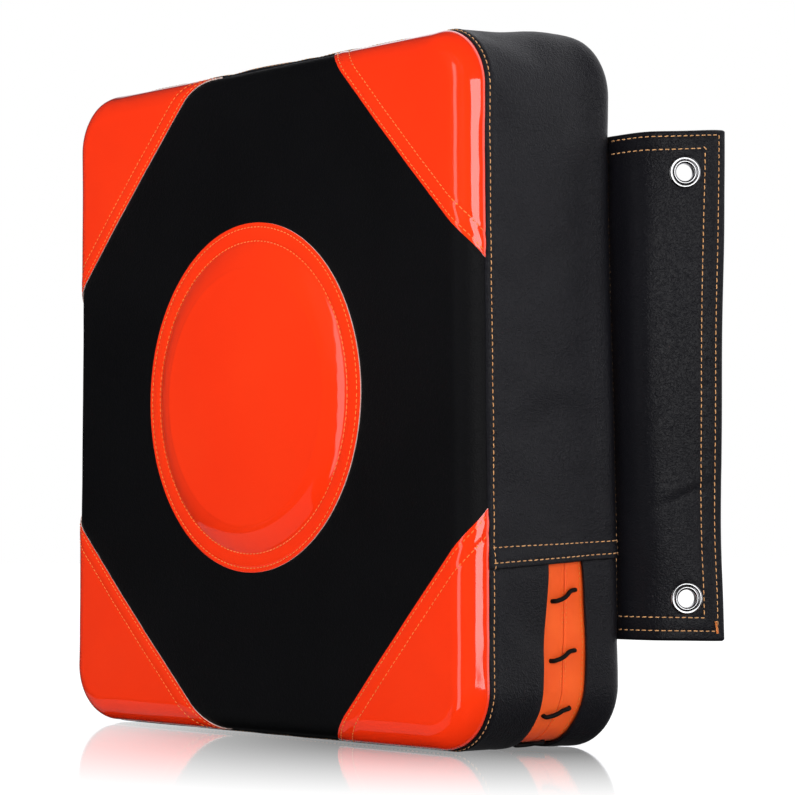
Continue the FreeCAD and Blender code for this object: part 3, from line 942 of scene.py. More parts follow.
def upper_gusset():
    """One band over the top and down both sides, its hems lying over the lower gussets."""
    v = gusset_rows()
    _, y = gusset_profile(v)
    start = hem_s(y)
    length = AROUND - 2 * start
    middle = float(length.mean())
    along = spacing((0, 14, 0.9), (14, middle - 14, 2.9), (middle - 14, middle, 0.9))
    s = start[:, None] + along[None, :] * (length / middle)[:, None]
    hem = np.minimum(along, middle - along)[None, :] * hem_taper(y)[:, None]
    inset, _ = gusset_profile(v)
    lift = HEM_LIP * (1 - ease(hem, 3, 15)) - sum(0.26 * hump(hem, r, 0.9) for r in HEM_ROWS)
    lift = lift + 0.10 * hump(hem, 6.8, 2.5)
    inset = inset[:, None] + pucker(s, v[:, None]) - lift
    top = place(s, inset, y[:, None])
    # The folded edge of each hem.
    turn = np.linspace(0, math.pi, 6)[1:]
    fold = 0.75
    lips = []
    for sign, column in ((-1, 0), (1, -1)):
        lip_s = s[:, [column]] + sign * fold * np.sin(turn)[None, :]
        lip_inset = inset[:, [column]] + fold * (1 - np.cos(turn))[None, :]
        lips.append((lip_s, place(lip_s, lip_inset, y[:, None])))
    (s1, p1), (s2, p2) = lips
    top = np.concatenate([p1[:, ::-1], top, p2], axis=1)
    s = np.concatenate([s1[:, ::-1], s, s2], axis=1)
    inward = inward_of(s)
    inward[:, :5] *= 0.1
    inward[:, -5:] *= 0.1
    top = SWELL.at(top)
    made = sheet_piece("upper_gusset_cover", top, inward, SKIN, SIDE_BLACK, "pad",
                       "side_cover", "upper_gusset")


def opening_half(s):
    """Half the closure's opening: narrow at the hem, wider below it."""
    below = hem_s(CLOSURE_Y) - np.abs(s)
    return OPENING - 1.4 * np.exp(-(np.clip(below, 0, None) / 25.0) ** 2) + 0.9 * hump(below, 60, 30)


def lower_gusset(name, rear):
    """From one seam to the closure's folded edge, right round the bottom."""
    reach = hem_s(CLOSURE_Y) + HEM_TUCK
    along = spacing((-reach, -reach + 30, 1.6), (-reach + 30, reach - 30, 2.9),
                    (reach - 30, reach, 1.6))
    rows = gusset_rows()
    s = along[None, :]
    half = opening_half(s) + (-1.0 if rear else 0.8)
    edge = CLOSURE_Y - FRONT_SEAM + (half if rear else -half)
    if rear:
        share = (rows[rows > 60] - 60) / (GUSSET_RUN - 60)
        v = edge + share[:, None] * (GUSSET_RUN - edge)
        v = v[::-1]
    else:
        share = rows[rows < 45] / rows[rows < 45].max()
        v = share[:, None] * edge
    inset, y = gusset_profile(v)
    z_here = place(s, 0 * v, y)[..., 2]
    under_hem = ease(z_here - hem_z(y), -9, 1)
    crease = np.abs(v - edge)
    inset = inset + pucker(s, v) + 0.5 * under_hem - 0.25 * hump(crease, 4.5, 3.0)
    turn = np.linspace(0, math.pi, 8)[1:]
    fold = 1.05
    fold_v = (edge + (-1 if rear else 1) * fold * np.sin(turn)[:, None])
    fold_y = FRONT_SEAM + fold_v
    fold_inset = inset[-1:] + fold * (1 - np.cos(turn))[:, None]
    back_y = fold_y[-1:] + (1 if rear else -1) * np.array([[2.0], [4.5]])
    back_inset = np.repeat(fold_inset[-1:], 2, axis=0)
    inset = np.concatenate([inset, fold_inset, back_inset])
    y = np.concatenate([y, fold_y, back_y])
    s = np.broadcast_to(s, y.shape)
    top = SWELL.at(place(s, inset, y))
    thin = np.ones(len(y))
    thin[-9:] = 0.12
    made = sheet_piece(name, top, inward_of(s) * thin[:, None, None], SKIN, SIDE_BLACK, "pad",
                       "side_cover", name.replace("_cover", ""))


def tape_pull(s):
    """How much the lace pulls the tape in: 1 at each crossing, 0 halfway between."""
    step = (s + hem_s(CLOSURE_Y) - LACE_FIRST) / LACE_PITCH
    return 0.5 + 0.5 * np.cos(2 * math.pi * step)


def closure_tape(name, front):
    reach = hem_s(CLOSURE_Y) + HEM_TUCK - 2
    s = spacing((-reach, reach, 1.7))[None, :]
    far = TAPE_LOW[1] if front else TAPE_HIGH[1]
    near = CLOSURE_Y - 0.15 if front else CLOSURE_Y + 0.15
    y = spacing((near, near + math.copysign(3, far - near), 0.5),
                (near + math.copysign(3, far - near), far, 1.6))[:, None]
    across = np.abs(y - near)
    depth = TAPE_DEPTH + 0.7 * np.exp(-across / 0.7) + 0.15 * hump(across, 2.4, 0.7)
    # The lace pulls the tape in beside each hole, and it puffs out between them.
    pull = tape_pull(s)
    depth = depth + 0.35 * pull * hump(across, LACE_REACH, 3.0) - 0.3 * (1 - pull)
    depth = depth + 0.10 * np.sin(s / 2.3 + np.sin(s / 11.0)) * hump(across, 4, 6)
    edge = opening_half(s) - across
    depth = depth + 0.18 * hump(edge, 3.0, 0.6)
    top = SWELL.at(place(s, depth, y))
    s = np.broadcast_to(s, top.shape[:2])
    return sheet_piece(name + "_satin", top, inward_of(s), TAPE_THICK, TAPE, "pad",
                       "orange_tape", name)


def lace_route():
    """The lace, over the tapes on a slant and back inside to the next pair of holes."""
    first = hem_s(CLOSURE_Y) - LACE_FIRST
    row = []
    for i in range(LACE_CROSSINGS):
        s = first - i * LACE_PITCH
        sway = 0.6 * math.sin(2.3 * i + 1.0)
        front = (s - LACE_SLANT, CLOSURE_Y - LACE_REACH)
        rear = (s + LACE_SLANT + sway, CLOSURE_Y + LACE_REACH - 1.8)
        row += [(*front, LACE_INNER), (front[0], front[1] - 0.3, LACE_OUTER + 0.6),
                (front[0] + 0.2, front[1] + 1.6, LACE_OUTER - 0.5),
                (s - 0.6, CLOSURE_Y - 1.0, LACE_OUTER - 0.5),
                (rear[0] - 0.3, rear[1] - 4.6, LACE_OUTER - 0.4),
                (rear[0], rear[1] - 0.9, LACE_OUTER),
                (rear[0], rear[1] + 0.5, LACE_OUTER + 1.2), (*rear, LACE_INNER)]
        if i + 1 < LACE_CROSSINGS:
            for part in (0.35, 0.65):
                row.append((rear[0] - part * (LACE_PITCH + 2 * LACE_SLANT),
                            rear[1] - part * 2 * LACE_REACH, LACE_INNER))
    start, end = row[0], row[-1]
    row = [(start[0] + LACE_TAIL, start[1], LACE_INNER)] + row
    row.append((end[0] - LACE_TAIL, end[1], LACE_INNER))
    s, y, depth = np.array(row).T
    # Along the bottom the strands lie flat, clear of the ground.
    depth = np.maximum(depth, LACE_RADIUS * ease(BOTTOM_END - np.abs(s), 0, 30))
    return SWELL.at(place(s, depth, y))


def closure_lace():
    route = lace_route()
    curve = bpy.data.curves.new("lace", "CURVE")
    curve.dimensions = "3D"
    line = curve.splines.new("NURBS")
    line.points.add(len(route) - 1)
    line.points.foreach_set("co", np.c_[route * MM, np.ones(len(route))].ravel())
    line.order_u = 3
    line.use_endpoint_u = True
    line.resolution_u = 5
    curve.bevel_depth = LACE_RADIUS * MM
    curve.bevel_resolution = 4
    curve.use_fill_caps = True
    strand = bpy.data.objects.new("lace", curve)
    bpy.context.scene.collection.objects.link(strand)
    bpy.context.view_layer.update()
    graph = bpy.context.evaluated_depsgraph_get()
    mesh = bpy.data.meshes.new_from_object(strand.evaluated_get(graph))
    bpy.data.objects.remove(strand)
    made = bpy.data.objects.new("closure_lace_cord", mesh)
    bpy.context.scene.collection.objects.link(made)
    mesh.materials.clear()
    mesh.materials.append(LACE)
    mesh.polygons.foreach_set("use_smooth", [True] * len(mesh.polygons))
    return finish_piece(tidy_mesh(made), "pad", "lace_cord", "closure_lace")


def back_panel():
    points, faces = weld(*panel(4.0, rear_rim(9, 4.0), flip=True))
    x, y, z = points.T
    inside = ease(HALF_W - np.abs(x), 14, 40) * ease(HALF_H - np.abs(z), 14, 40)
    along, up = np.sin(x / 21.0 + 1.4 * np.sin(z / 37.0)), np.sin(z / 29.0 + np.sin(x / 33.0))
    wave = 0.5 + 0.5 * along * up
    points[:, 1] -= 0.6 * inside * wave
    made = build("back_panel_cover", settled(points), faces, [BACK_BLACK])
    thicken(made, SKIN)
    return finish_piece(made, "pad", "side_cover", "back_panel")


# ---- Stitching -------------------------------------------------------------------------------
def resample(points, normals, spots):
    """Points, tangents and normals at distances along a path."""
    gaps = np.linalg.norm(np.diff(points, axis=0), axis=1)
    run = np.concatenate([[0], np.cumsum(gaps)])
    take = lambda values, at: np.stack([np.interp(at, run, values[:, i]) for i in range(3)], -1)
    centre = take(points, spots)
    tangent = take(points, spots + 0.6) - take(points, spots - 0.6)
    tangent /= np.maximum(np.linalg.norm(tangent, axis=1), 1e-9)[:, None]
    normal = take(normals, spots)
    normal -= tangent * np.einsum("ij,ij->i", normal, tangent)[:, None]
    normal /= np.maximum(np.linalg.norm(normal, axis=1), 1e-9)[:, None]
    return centre, tangent, normal


STATIONS = np.array([-1.0, -0.82, -0.4, 0.0, 0.4, 0.82, 1.0])
FATNESS = np.array([0.35, 0.85, 1.0, 1.0, 1.0, 0.85, 0.35])
HEIGHTS = np.array([-0.9, -0.1, 0.55, 0.7, 0.55, -0.1, -0.9])
SIDES = 6
BLOCK = len(STATIONS) * SIDES


def stitch_faces(count):
    """The faces of a number of stitches, each one a block of points."""
    tube = grid_faces(len(STATIONS), SIDES, wrap=True)
    return (tube[None] + (np.arange(count) * BLOCK)[:, None, None]).reshape(-1, 4)


def stitches(points, normals, pitch=STITCH_PITCH, gap=STITCH_GAP, width=THREAD, seed=0):
    """Short raised stitches along a path that lies on a surface."""
    length = np.linalg.norm(np.diff(points, axis=0), axis=1).sum()
    count = int((length - gap) / pitch)
    if count < 1:
        return np.zeros((0, 3)), np.zeros((0, 4), int)
    pitch = (length - gap) / count
    rng = np.random.default_rng(seed)
    spots = gap + pitch * (np.arange(count) + 0.5) - gap / 2
    half = (pitch - gap) / 2 * rng.uniform(0.92, 1.06, count)
    centre, tangent, normal = resample(points, normals, spots)
    across = np.cross(normal, tangent)
    skew = rng.uniform(-0.07, 0.07, count) + 0.05
    tangent = tangent + across * skew[:, None]
    a = np.arange(SIDES) * 2 * math.pi / SIDES
    ring = np.stack([np.cos(a), 0.8 * np.sin(a)], -1)
    made = (centre[:, None, None]
            + tangent[:, None, None] * (STATIONS[None, :, None, None] * half[:, None, None, None])
            + across[:, None, None] * (ring[None, None, :, :1] * FATNESS[None, :, None, None] * width)
            + normal[:, None, None] * ((ring[None, None, :, 1:] * FATNESS[None, :, None, None]
                                        + HEIGHTS[None, :, None, None]) * width))
    return made.reshape(-1, 3), stitch_faces(count)


def stitch_piece(name, runs, material):
    """One piece from several runs of stitches."""
    points, faces, total = [], [], 0
    for p, f in runs:
        points.append(p)
        faces.append(f + total)
        total += len(p)
    points, faces = np.concatenate(points), np.concatenate(faces)
    made = build(name, points, faces, [material])
    b_mesh = bmesh.new()
    b_mesh.from_mesh(made.data)
    bmesh.ops.holes_fill(b_mesh, edges=b_mesh.edges[:], sides=SIDES)
    bmesh.ops.recalc_face_normals(b_mesh, faces=b_mesh.faces[:])
    b_mesh.to_mesh(made.data)
    b_mesh.free()
    return made


def surface_tree(made):
    mesh = made.data
    return BVHTree.FromPolygons([v.co / MM for v in mesh.vertices],
                                [tuple(p.vertices) for p in mesh.polygons])


def hits(tree, rays):
    """Points and normals where rays of (start, direction) first meet a piece."""
    found = [tree.ray_cast(*ray) for ray in rays]
    found = [hit for hit in found if hit[0] is not None]
    return np.array([hit[0] for hit in found]), np.array([hit[1] for hit in found])


def on_patch(tree, xz):
    """Points and normals of a patch at places on its flat cut shape."""
    edge = [HALF_W - FLAT_INSET, HALF_H - FLAT_INSET]
    over = np.clip(np.abs(xz) - edge, 0, None) * np.sign(xz)
    ways = [Vector((x, -12.0, z)).normalized() for x, z in over]
    places = SWELL.at(undeveloped(*xz.T))
    return hits(tree, [(Vector(at) + way * 6, -way) for at, way in zip(places, ways)])


def on_front(tree, xz):
    """Points and normals where lines along +Y first meet a piece."""
    return hits(tree, [(Vector((x, -300, z)), Vector((0, 1, 0))) for x, z in xz])


def gusset_row(s, v, lift):
    """A path on the gussets and its normals."""
    inset, y = gusset_profile(v)
    turn = np.clip((v - STRAIGHT) / REAR_ROUND, 0, None)
    points = SWELL.at(place(s, inset + pucker(s, v) - lift, y))
    _, _, nx, nz = spine(s)
    normals = np.stack([nx * np.cos(turn), np.sin(turn) + 0 * nx, nz * np.cos(turn)], -1)
    return points, normals


def seam_stitching():
    runs = []
    for v in (SEAM_ROW, GUSSET_RUN - SEAM_ROW):
        s = np.arange(0, AROUND + 1, 1.0)
        hem = s - hem_s(gusset_profile(v)[1])
        hem = np.minimum(hem, AROUND - hem_s(gusset_profile(v)[1]) - s)
        lift = HEM_LIP * (1 - ease(hem, 3, 15)) * (hem > -0.4) + 0.02
        points, normals = gusset_row(s, np.full(len(s), v), lift)
        runs.append(stitches(points, normals, seed=int(v)))
    made = stitch_piece("seam_stitching", runs, THREAD_TAN)
    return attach(made, "pad")


def hem_stitching():
    runs = []
    v = np.arange(1.5, GUSSET_RUN - 1.2, 1.0)
    _, y = gusset_profile(v)
    for side in (1, -1):
        for i, row in enumerate(HEM_ROWS):
            s = hem_s(y) + row / hem_taper(y)
            lift = HEM_LIP * (1 - ease(np.full(len(v), row), 3, 15)) - 0.24
            points, normals = gusset_row(s if side > 0 else AROUND - s, v, lift)
            runs.append(stitches(points, normals, seed=10 + i))
    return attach(stitch_piece("hem_stitching", runs, THREAD_TAN), "pad")


def tape_stitching():
    """A fine row along each tape, just inside the closure's folded edges."""
    runs = []
    reach = hem_s(CLOSURE_Y) + 1
    s = np.arange(-reach, reach, 1.0)
    for sign in (-1, 1):
        y = CLOSURE_Y + sign * (opening_half(s) - (3.0 if sign > 0 else 1.2))
        pull = tape_pull(s)
        depth = TAPE_DEPTH + 0.15 - 0.3 * (1 - pull)
        points = SWELL.at(place(s, depth, y))
        runs.append(stitches(points, -inward_of(s), pitch=2.9, gap=0.9, width=0.22,
                             seed=20 + sign))
        points = SWELL.at(place(s, TAPE_DEPTH + 0.12, CLOSURE_Y + sign * 1.3))
        runs.append(stitches(points, -inward_of(s), pitch=2.7, gap=1.5, width=0.17,
                             seed=22 + sign))
    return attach(stitch_piece("tape_stitching", runs, THREAD_ORANGE), "pad")


def patch_stitching(patches):
    runs = []
    for i, (name, sizes) in enumerate(PATCHES.items()):
        tree = surface_tree(patches[name])
        _, a, b, inward = patch_edge(0, 0, *sizes)
        share = np.linspace(-0.06, 1.06, 260)[:, None]
        for row in PATCH_ROWS:
            line = a + (b - a) * share + inward * row
            over = np.maximum(np.abs(line[:, 0]) - HALF_W, np.abs(line[:, 1]) - HALF_H)
            points, normals = on_patch(tree, line[over < shoulder()[0][-2] - FLAT_INSET])
            runs.append(stitches(points, normals, **FINE_STITCH,
                                 seed=30 + i))
    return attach(stitch_piece("patch_stitching", runs, THREAD_ORANGE), "pad")


def disc_stitching(disc):
    tree = surface_tree(disc)
    a = np.linspace(0, 2 * math.pi, 720)
    runs = []
    for i, row in enumerate(DISC_ROWS):
        r = DISC_RADIUS - row
        points, normals = on_front(tree, np.stack([r * np.cos(a), r * np.sin(a)], -1))
        runs.append(stitches(points, normals, **FINE_STITCH, seed=40 + i))
    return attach(stitch_piece("disc_stitching", runs, THREAD_ORANGE), "pad")


# ---- Side flaps -------------------------------------------------------------------------------
FLAP_RUN = FLAP_RADIUS * math.radians(FLAP_END - FLAP_START)
SPLIT_U = FLAP_RADIUS * math.radians(FLAP_SPLIT - FLAP_START)
FOLD_U = FLAP_RADIUS * math.radians(FLAP_FOLD - FLAP_START)
EYELET_U = FLAP_RUN - EYELET_EDGE
CURL = HINGE + FLAP_RADIUS * np.array([-math.sin(math.radians(FLAP_START)),
                                       math.cos(math.radians(FLAP_START)), 0])
FLAP_BOTTOM, FLAP_TOP = FLAP_LOW[2], FLAP_HIGH[2]


def flap_frame(u):
    """Middle line of the right flap and its front normal at a distance u past the seam."""
    heading = np.radians(FLAP_START) + u / FLAP_RADIUS
    sewn = np.clip(-u, 0, None)
    on_curl = np.maximum(u, 0)
    h = np.radians(FLAP_START) + on_curl / FLAP_RADIUS
    x = CURL[0] + FLAP_RADIUS * np.sin(h) - sewn
    y = CURL[1] - FLAP_RADIUS * np.cos(h)
    settle = ease(u, -5, 4)
    heading = heading * settle
    return x, y, np.sin(heading), -np.cos(heading)


def flap_point(u, z, lift):
    x, y, nx, ny = flap_frame(u)
    return np.stack([x + nx * lift, y + ny * lift, z + 0 * (x + lift)], -1)


def eyelet_frame(z):
    """Centre and axis of an eyelet of the right flap."""
    x, y, nx, ny = flap_frame(np.array(EYELET_U))
    return np.array([x, y, z], float), np.array([nx, ny, 0.0], float)


def flange_seat():
    outer = FLAP_RADIUS + FLAP_HALF
    return math.sqrt(outer ** 2 - FLANGE ** 2) - FLAP_RADIUS


def flap_waves(u, z):
    """How far the flap strays from its curl, nothing beside the eyelets."""
    out = ease(u, 4, 60)
    calm = 1.0
    for at in EYELET_Z:
        calm = calm * (1 - np.exp(-(((z - at) / 22.0) ** 2 + ((u - EYELET_U) / 24.0) ** 2)))
    slow = 1.3 * np.sin(z / 46.0 + 0.7) + 0.5 * np.sin(z / 19.0 + u / 23.0)
    tilt = (z + 61.0) - 0.42 * (u - 40.0)
    crease = -0.8 * hump(tilt, 0, 3.2) * hump(u, 42, 15)
    crease += 0.5 * hump(tilt, 7, 5.0) * hump(u, 40, 16)
    lines = 0.35 * hump(z + 0.3 * u - 60, 0, 6.0) * hump(u, 30, 18)
    bent = u + 4.0 * np.sin(z / 62.0 + 0.9)
    ridge = 5.0 * hump(bent, 25, 12) - 1.2 * hump(bent, 54, 10)
    ridge = ridge * (0.8 + 0.2 * np.sin(z / 60.0 + 0.6)) * ease(u, 1, 10)
    return (slow * 0.8 * out + crease + lines + ridge) * calm


def flap_outline(u):
    """Bottom and top of the flap at a distance from the seam."""
    out = np.clip(u / FLAP_RUN, 0, 1)
    shape = 1.6 * (1 - out) ** 2 - 1.7 * hump(out, 1.0, 0.3)
    tip = np.clip(u - (FLAP_RUN - FLAP_CORNER), 0, FLAP_CORNER)
    cut = FLAP_CORNER - np.sqrt(np.maximum(FLAP_CORNER ** 2 - tip ** 2, 0))
    return FLAP_BOTTOM + 0.3 * shape + cut, FLAP_TOP - shape - cut


def flap_bow(u, share):
    """How far the free edge is drawn in, most at mid-height and a little at the bottom."""
    drawn = 3.0 * np.sin(math.pi * share) + 3.4 * (1 - share) + 0.8 * share
    return drawn * ease(u, 20, FLAP_RUN)


def row_distance(top, bottom, free):
    """Distance from the nearest edge, counted so that the stitch rows run at the same
    value along all three edges: close to the top one, further from the other two."""
    return np.minimum(np.minimum(top + TOP_ROW_SHIFT, bottom - BOTTOM_ROW_SHIFT),
                      free * FREE_ROW)


def flap_rows():
    rows = spacing((0, 6, 0.6), (6, 14, 1.0), (14, 272, 1.9), (272, 280, 1.0), (280, 286, 0.6))
    return rows / 286


def flap_skin(u, front):
    """One skin of the right flap over a stretch u: a closed shell with a rounded edge."""
    share = flap_rows()
    low, high = flap_outline(u)
    z = low[:, None] + (high - low)[:, None] * share[None, :]
    uu = u[:, None] - flap_bow(u[:, None], share[None, :])
    edge = np.minimum(np.minimum(z - low[:, None], high[:, None] - z), (FLAP_RUN - u)[:, None])
    edge = np.clip(edge, 0, None)
    roll = np.sqrt(np.clip(1 - (1 - np.clip(edge / EDGE_ROLL, 0, 1)) ** 2, 0, 1))
    lift = 0.3 + (FLAP_HALF - 0.3) * roll
    rows = row_distance(high[:, None] - z, z - low[:, None], (FLAP_RUN - u)[:, None])
    lift = lift - sum(0.26 * hump(rows, r, 0.8) for r in FLAP_ROWS)
    lift = lift + 0.14 * hump(rows, 7.5, 2.2)
    sign = 1 if front else -1
    waves = flap_waves(uu, z)
    top = flap_point(uu, z, sign * lift + waves)
    under = flap_point(uu, z, sign * 0.02 + waves)
    keep = np.ones((len(u) - 1, len(share) - 1), bool)
    seat = flange_seat() if front else FLAP_HALF
    for at in EYELET_Z:
        centre, axis = eyelet_frame(at)
        axis = axis * sign
        for layer in (top, under):
            off = layer - centre
            high_now = off @ axis
            r = np.linalg.norm(off - high_now[..., None] * axis, axis=-1)
            roof = seat - 0.02 + np.clip(r - FLANGE - 0.2, 0, None) * 0.9
            drop = np.clip(high_now - roof, 0, None) * (r < FLANGE + 4)
            layer -= drop[..., None] * axis
        off = under - centre
        r = np.linalg.norm(off - (off @ axis)[..., None] * axis, axis=-1)
        corner = np.stack([r[:-1, :-1], r[1:, :-1], r[1:, 1:], r[:-1, 1:]])
        keep &= corner.min(axis=0) > BARREL + 0.15
    points, faces, _ = slab(top, under, keep)
    return points, faces


def flap_u(stretch):
    if stretch == "root":
        return spacing((-FLAP_SEWN_IN, 8, 0.9), (8, SPLIT_U, 1.4))
    return spacing((SPLIT_U, FLAP_RUN - 14, 1.5), (FLAP_RUN - 14, FLAP_RUN - 6, 1.0),
                   (FLAP_RUN - 6, FLAP_RUN - 3, 0.6), (FLAP_RUN - 3, FLAP_RUN, 0.3))


def mirror(points, side):
    return points * np.array([side, 1, 1])


def bend(made, side_name, stretch):
    """Bakes a piece of the flap's placement into its mesh. The cloth on each side of the joint that
    it crosses is worked out, but the piece does not follow the joint.
    """
    inner, outer = f"flap_{side_name}_inner", f"flap_{side_name}_outer"
    if stretch == "root":
        u1, u2, a, b = 0.0, ROOT_BLEND, "pad", inner
    else:
        u1, u2, a, b = FOLD_U - FOLD_BLEND, FOLD_U + FOLD_BLEND, inner, outer
    along = (flap_point(np.array((u1 + u2) / 2 + 0.5), 0.0, 0.0)
             - flap_point(np.array((u1 + u2) / 2 - 0.5), 0.0, 0.0))
    along = along / np.linalg.norm(along)
    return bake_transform(made)


def flap_path(row, front):
    """One stitch row down the flap's three free sides, as (u, z) from the seam at the top."""
    end = FLAP_RUN - row / FREE_ROW
    u = np.arange(1.0, end, 0.8)
    tops = flap_outline(u)[1] - (row - TOP_ROW_SHIFT)
    bottoms = flap_outline(u)[0] + (row + BOTTOM_ROW_SHIFT)
    z = np.arange(tops[-1], bottoms[-1], -0.8)
    uu = np.concatenate([u, np.full(len(z), end), u[::-1]])
    zz = np.concatenate([tops, z, bottoms[::-1]])
    share = (zz - FLAP_BOTTOM) / (FLAP_TOP - FLAP_BOTTOM)
    ub = uu - flap_bow(uu, np.clip(share, 0, 1))
    sign = 1 if front else -1
    lift = sign * (FLAP_HALF - 0.22) + flap_waves(ub, zz)
    points = flap_point(ub, zz, lift)
    _, _, nx, ny = flap_frame(ub)
    normals = sign * np.stack([nx, ny, 0 * nx], -1)
    return points, normals


def flap_stitching(side_name, side):
    """Stitches of both rows on both faces, split where the skins are."""
    runs = {"root": [], "tip": []}
    for i, row in enumerate(FLAP_ROWS):
        for front in (True, False):
            points, normals = flap_path(row, front)
            blocks = stitches(points, normals, seed=50 + i)[0].reshape(-1, BLOCK, 3)
            split = flap_point(np.array(SPLIT_U), 0.0, 0.0)
            ahead = flap_point(np.array(SPLIT_U + 1), 0.0, 0.0) - split
            past = ((blocks.mean(axis=1) - split)[:, :2] @ ahead[:2]) > 0
            for stretch, chosen in (("root", ~past), ("tip", past)):
                points = blocks[chosen].reshape(-1, 3)
                runs[stretch].append((mirror(points, side), stitch_faces(chosen.sum())))
    for stretch, parts in runs.items():
        made = stitch_piece(f"flap_{side_name}_{stretch}_stitching", parts, THREAD_TAN)
        bend(made, side_name, stretch)


def bar_tack(side_name, side):
    """The dense little bar that locks the thread at the flap's lower corner."""
    z = np.arange(FLAP_BOTTOM + 3.6, FLAP_BOTTOM + 11.0, 0.3)
    u = np.full(len(z), FLAP_RUN - 5.4) - 0.16 * (z - z[0])
    share = (z - FLAP_BOTTOM) / (FLAP_TOP - FLAP_BOTTOM)
    u = u - flap_bow(u, share)
    points = flap_point(u, z, FLAP_HALF - 0.05 + flap_waves(u, z))
    _, _, nx, ny = flap_frame(u)
    normals = np.stack([nx, ny, 0 * nx], -1)
    p, f = stitches(points, normals, pitch=0.75, gap=0.05, width=0.75, seed=70)
    name = f"flap_{side_name}_bar_tack"
    made = stitch_piece(name, [(mirror(p, side), f)], THREAD_ORANGE)
    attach(made, f"flap_{side_name}_outer")


def lathe(name, profile, centre, axis, material, segments=72):
    """Turns a closed profile of (radius, height) round an axis."""
    axis = axis / np.linalg.norm(axis)
    u = np.array([0, 0, 1.0])
    w = np.cross(axis, u)
    a = np.linspace(0, 2 * math.pi, segments, endpoint=False)
    r, h = np.array(profile).T
    ring = u[None] * np.cos(a)[:, None] + w[None] * np.sin(a)[:, None]
    points = centre + r[:, None, None] * ring[None] + h[:, None, None] * axis
    count = len(r)
    i, j = np.meshgrid(np.arange(count), np.arange(segments), indexing="ij")
    i2, j2 = (i + 1) % count, (j + 1) % segments
    faces = np.stack([i * segments + j, i * segments + j2, i2 * segments + j2,
                      i2 * segments + j], -1).reshape(-1, 4)
    return tidy_mesh(build(name, points.reshape(-1, 3), faces, [material]))


def arc(centre_r, centre_h, radius_r, radius_h, a1, a2, count=8):
    a = np.radians(np.linspace(a1, a2, count))
    return [(centre_r + radius_r * math.cos(t), centre_h + radius_h * math.sin(t)) for t in a]


def eyelets(side_name, side):
    """Each eyelet's domed flange with its pressed rings, and the washer behind."""
    seat = flange_seat()
    foot = -FLAP_HALF - WASHER
    shell = ([(BORE, foot), (BORE, seat + 0.5)]
             + arc(BORE + 1.1, seat + 0.55, 1.1, 0.95, 180, 60, 10)
             + [(BORE + 2.0, seat + 1.25), (BORE + 2.25, seat + 1.0), (BORE + 2.5, seat + 1.05)]
             + arc(FLANGE - 0.95, seat + 0.5, 0.95, 0.62, 100, -30, 10)
             + [(FLANGE - 0.1, seat), (BARREL, seat), (BARREL, foot), (BARREL + 1.5, foot)]
             + arc(BARREL + 0.4, foot, 1.1, 0.75, -10, -170, 8))
    ring = ([(BARREL + 0.05, foot), (BARREL + 0.05, foot + WASHER), (FLANGE - 0.2, foot + WASHER)]
            + arc(FLANGE - 0.3, foot + WASHER - 0.4, 0.3, 0.4, 60, -90, 6))
    for label, at in zip(("bottom", "top"), EYELET_Z):
        centre, axis = eyelet_frame(at)
        centre, axis = mirror(centre, side), mirror(axis, side)
        body = f"flap_{side_name}_outer"
        made = lathe(f"flap_{side_name}_eyelet_{label}", shell, centre, axis, NICKEL)
        finish_piece(made, body, "eyelet_metal", f"flap_{side_name}_eyelets")
        made = lathe(f"flap_{side_name}_washer_{label}", ring, centre, axis, NICKEL)
        finish_piece(made, body, "eyelet_metal", f"flap_{side_name}_washers")


def side_flap(side_name, side):
    prefix = f"flap_{side_name}_"
    stands = {
        ("root", True): [prefix + "inner_front_skin", prefix + "inner_core", prefix + "seam_strip"],
        ("root", False): [prefix + "inner_rear_skin"],
        ("tip", True): [prefix + "outer_front_skin", prefix + "outer_core"],
        ("tip", False): [prefix + "outer_rear_skin"],
    }
    for (stretch, front), nodes in stands.items():
        name = prefix + stretch + ("_front" if front else "_rear") + "_cover"
        u = flap_u(stretch)
        points, faces = flap_skin(u, front)
        made = tidy_mesh(build(name, mirror(points, side), faces, [FLAP_BLACK]))
        finish_piece(made, None, "flap_cover", *nodes)
        bend(made, side_name, stretch)
    flap_stitching(side_name, side)
    bar_tack(side_name, side)
    eyelets(side_name, side)


# ---- Carried-over CAD nodes -----------------------------------------------------------------
def paint_nodes():
    inner = {
        "strike_foam": DENSE_FOAM, "core_foam": SOFT_FOAM, "rear_foam": SOFT_FOAM,
        "target_disc_padding": SOFT_FOAM, "closure_underflap": LINING,
    }
    for name, material in inner.items():
        mesh = frame["nodes"][name].data
        mesh.materials.clear()
        mesh.materials.append(material)


# ---- Camera, floor and light -----------------------------------------------------------------
CAMERA_AT = (1.362, -1.122, -0.074)
CAMERA_LENS = 129.5
CAMERA_PITCH = 2.50
CAMERA_TURN = math.degrees(math.atan2(0.772, 0.636))
ROOM_FRONT = (0.70, (0.03, 0.03, 0.032, 1))    # where the room's dark ends, and its colour
ROOM_BACK = (0.765, (1.0, 1.0, 1.04, 1))
GROUND_FADE, GROUND_SHARE = (-0.30, -0.02), 0.10
FLOOR_HALF, FLOOR_GAP, FLOOR_WHITE = 6000.0, 0.6, 1.17
MIRROR, MIRROR_FADE = 1.27, (0.12, 0.44)


def camera():
    data = bpy.data.cameras.new("camera")
    data.lens = CAMERA_LENS
    data.sensor_width = 36
    made = bpy.data.objects.new("camera", data)
    bpy.context.scene.collection.objects.link(made)
    made.location = CAMERA_AT
    made.rotation_euler = (math.radians(90 + CAMERA_PITCH), 0, math.radians(CAMERA_TURN))
    bpy.context.scene.camera = made


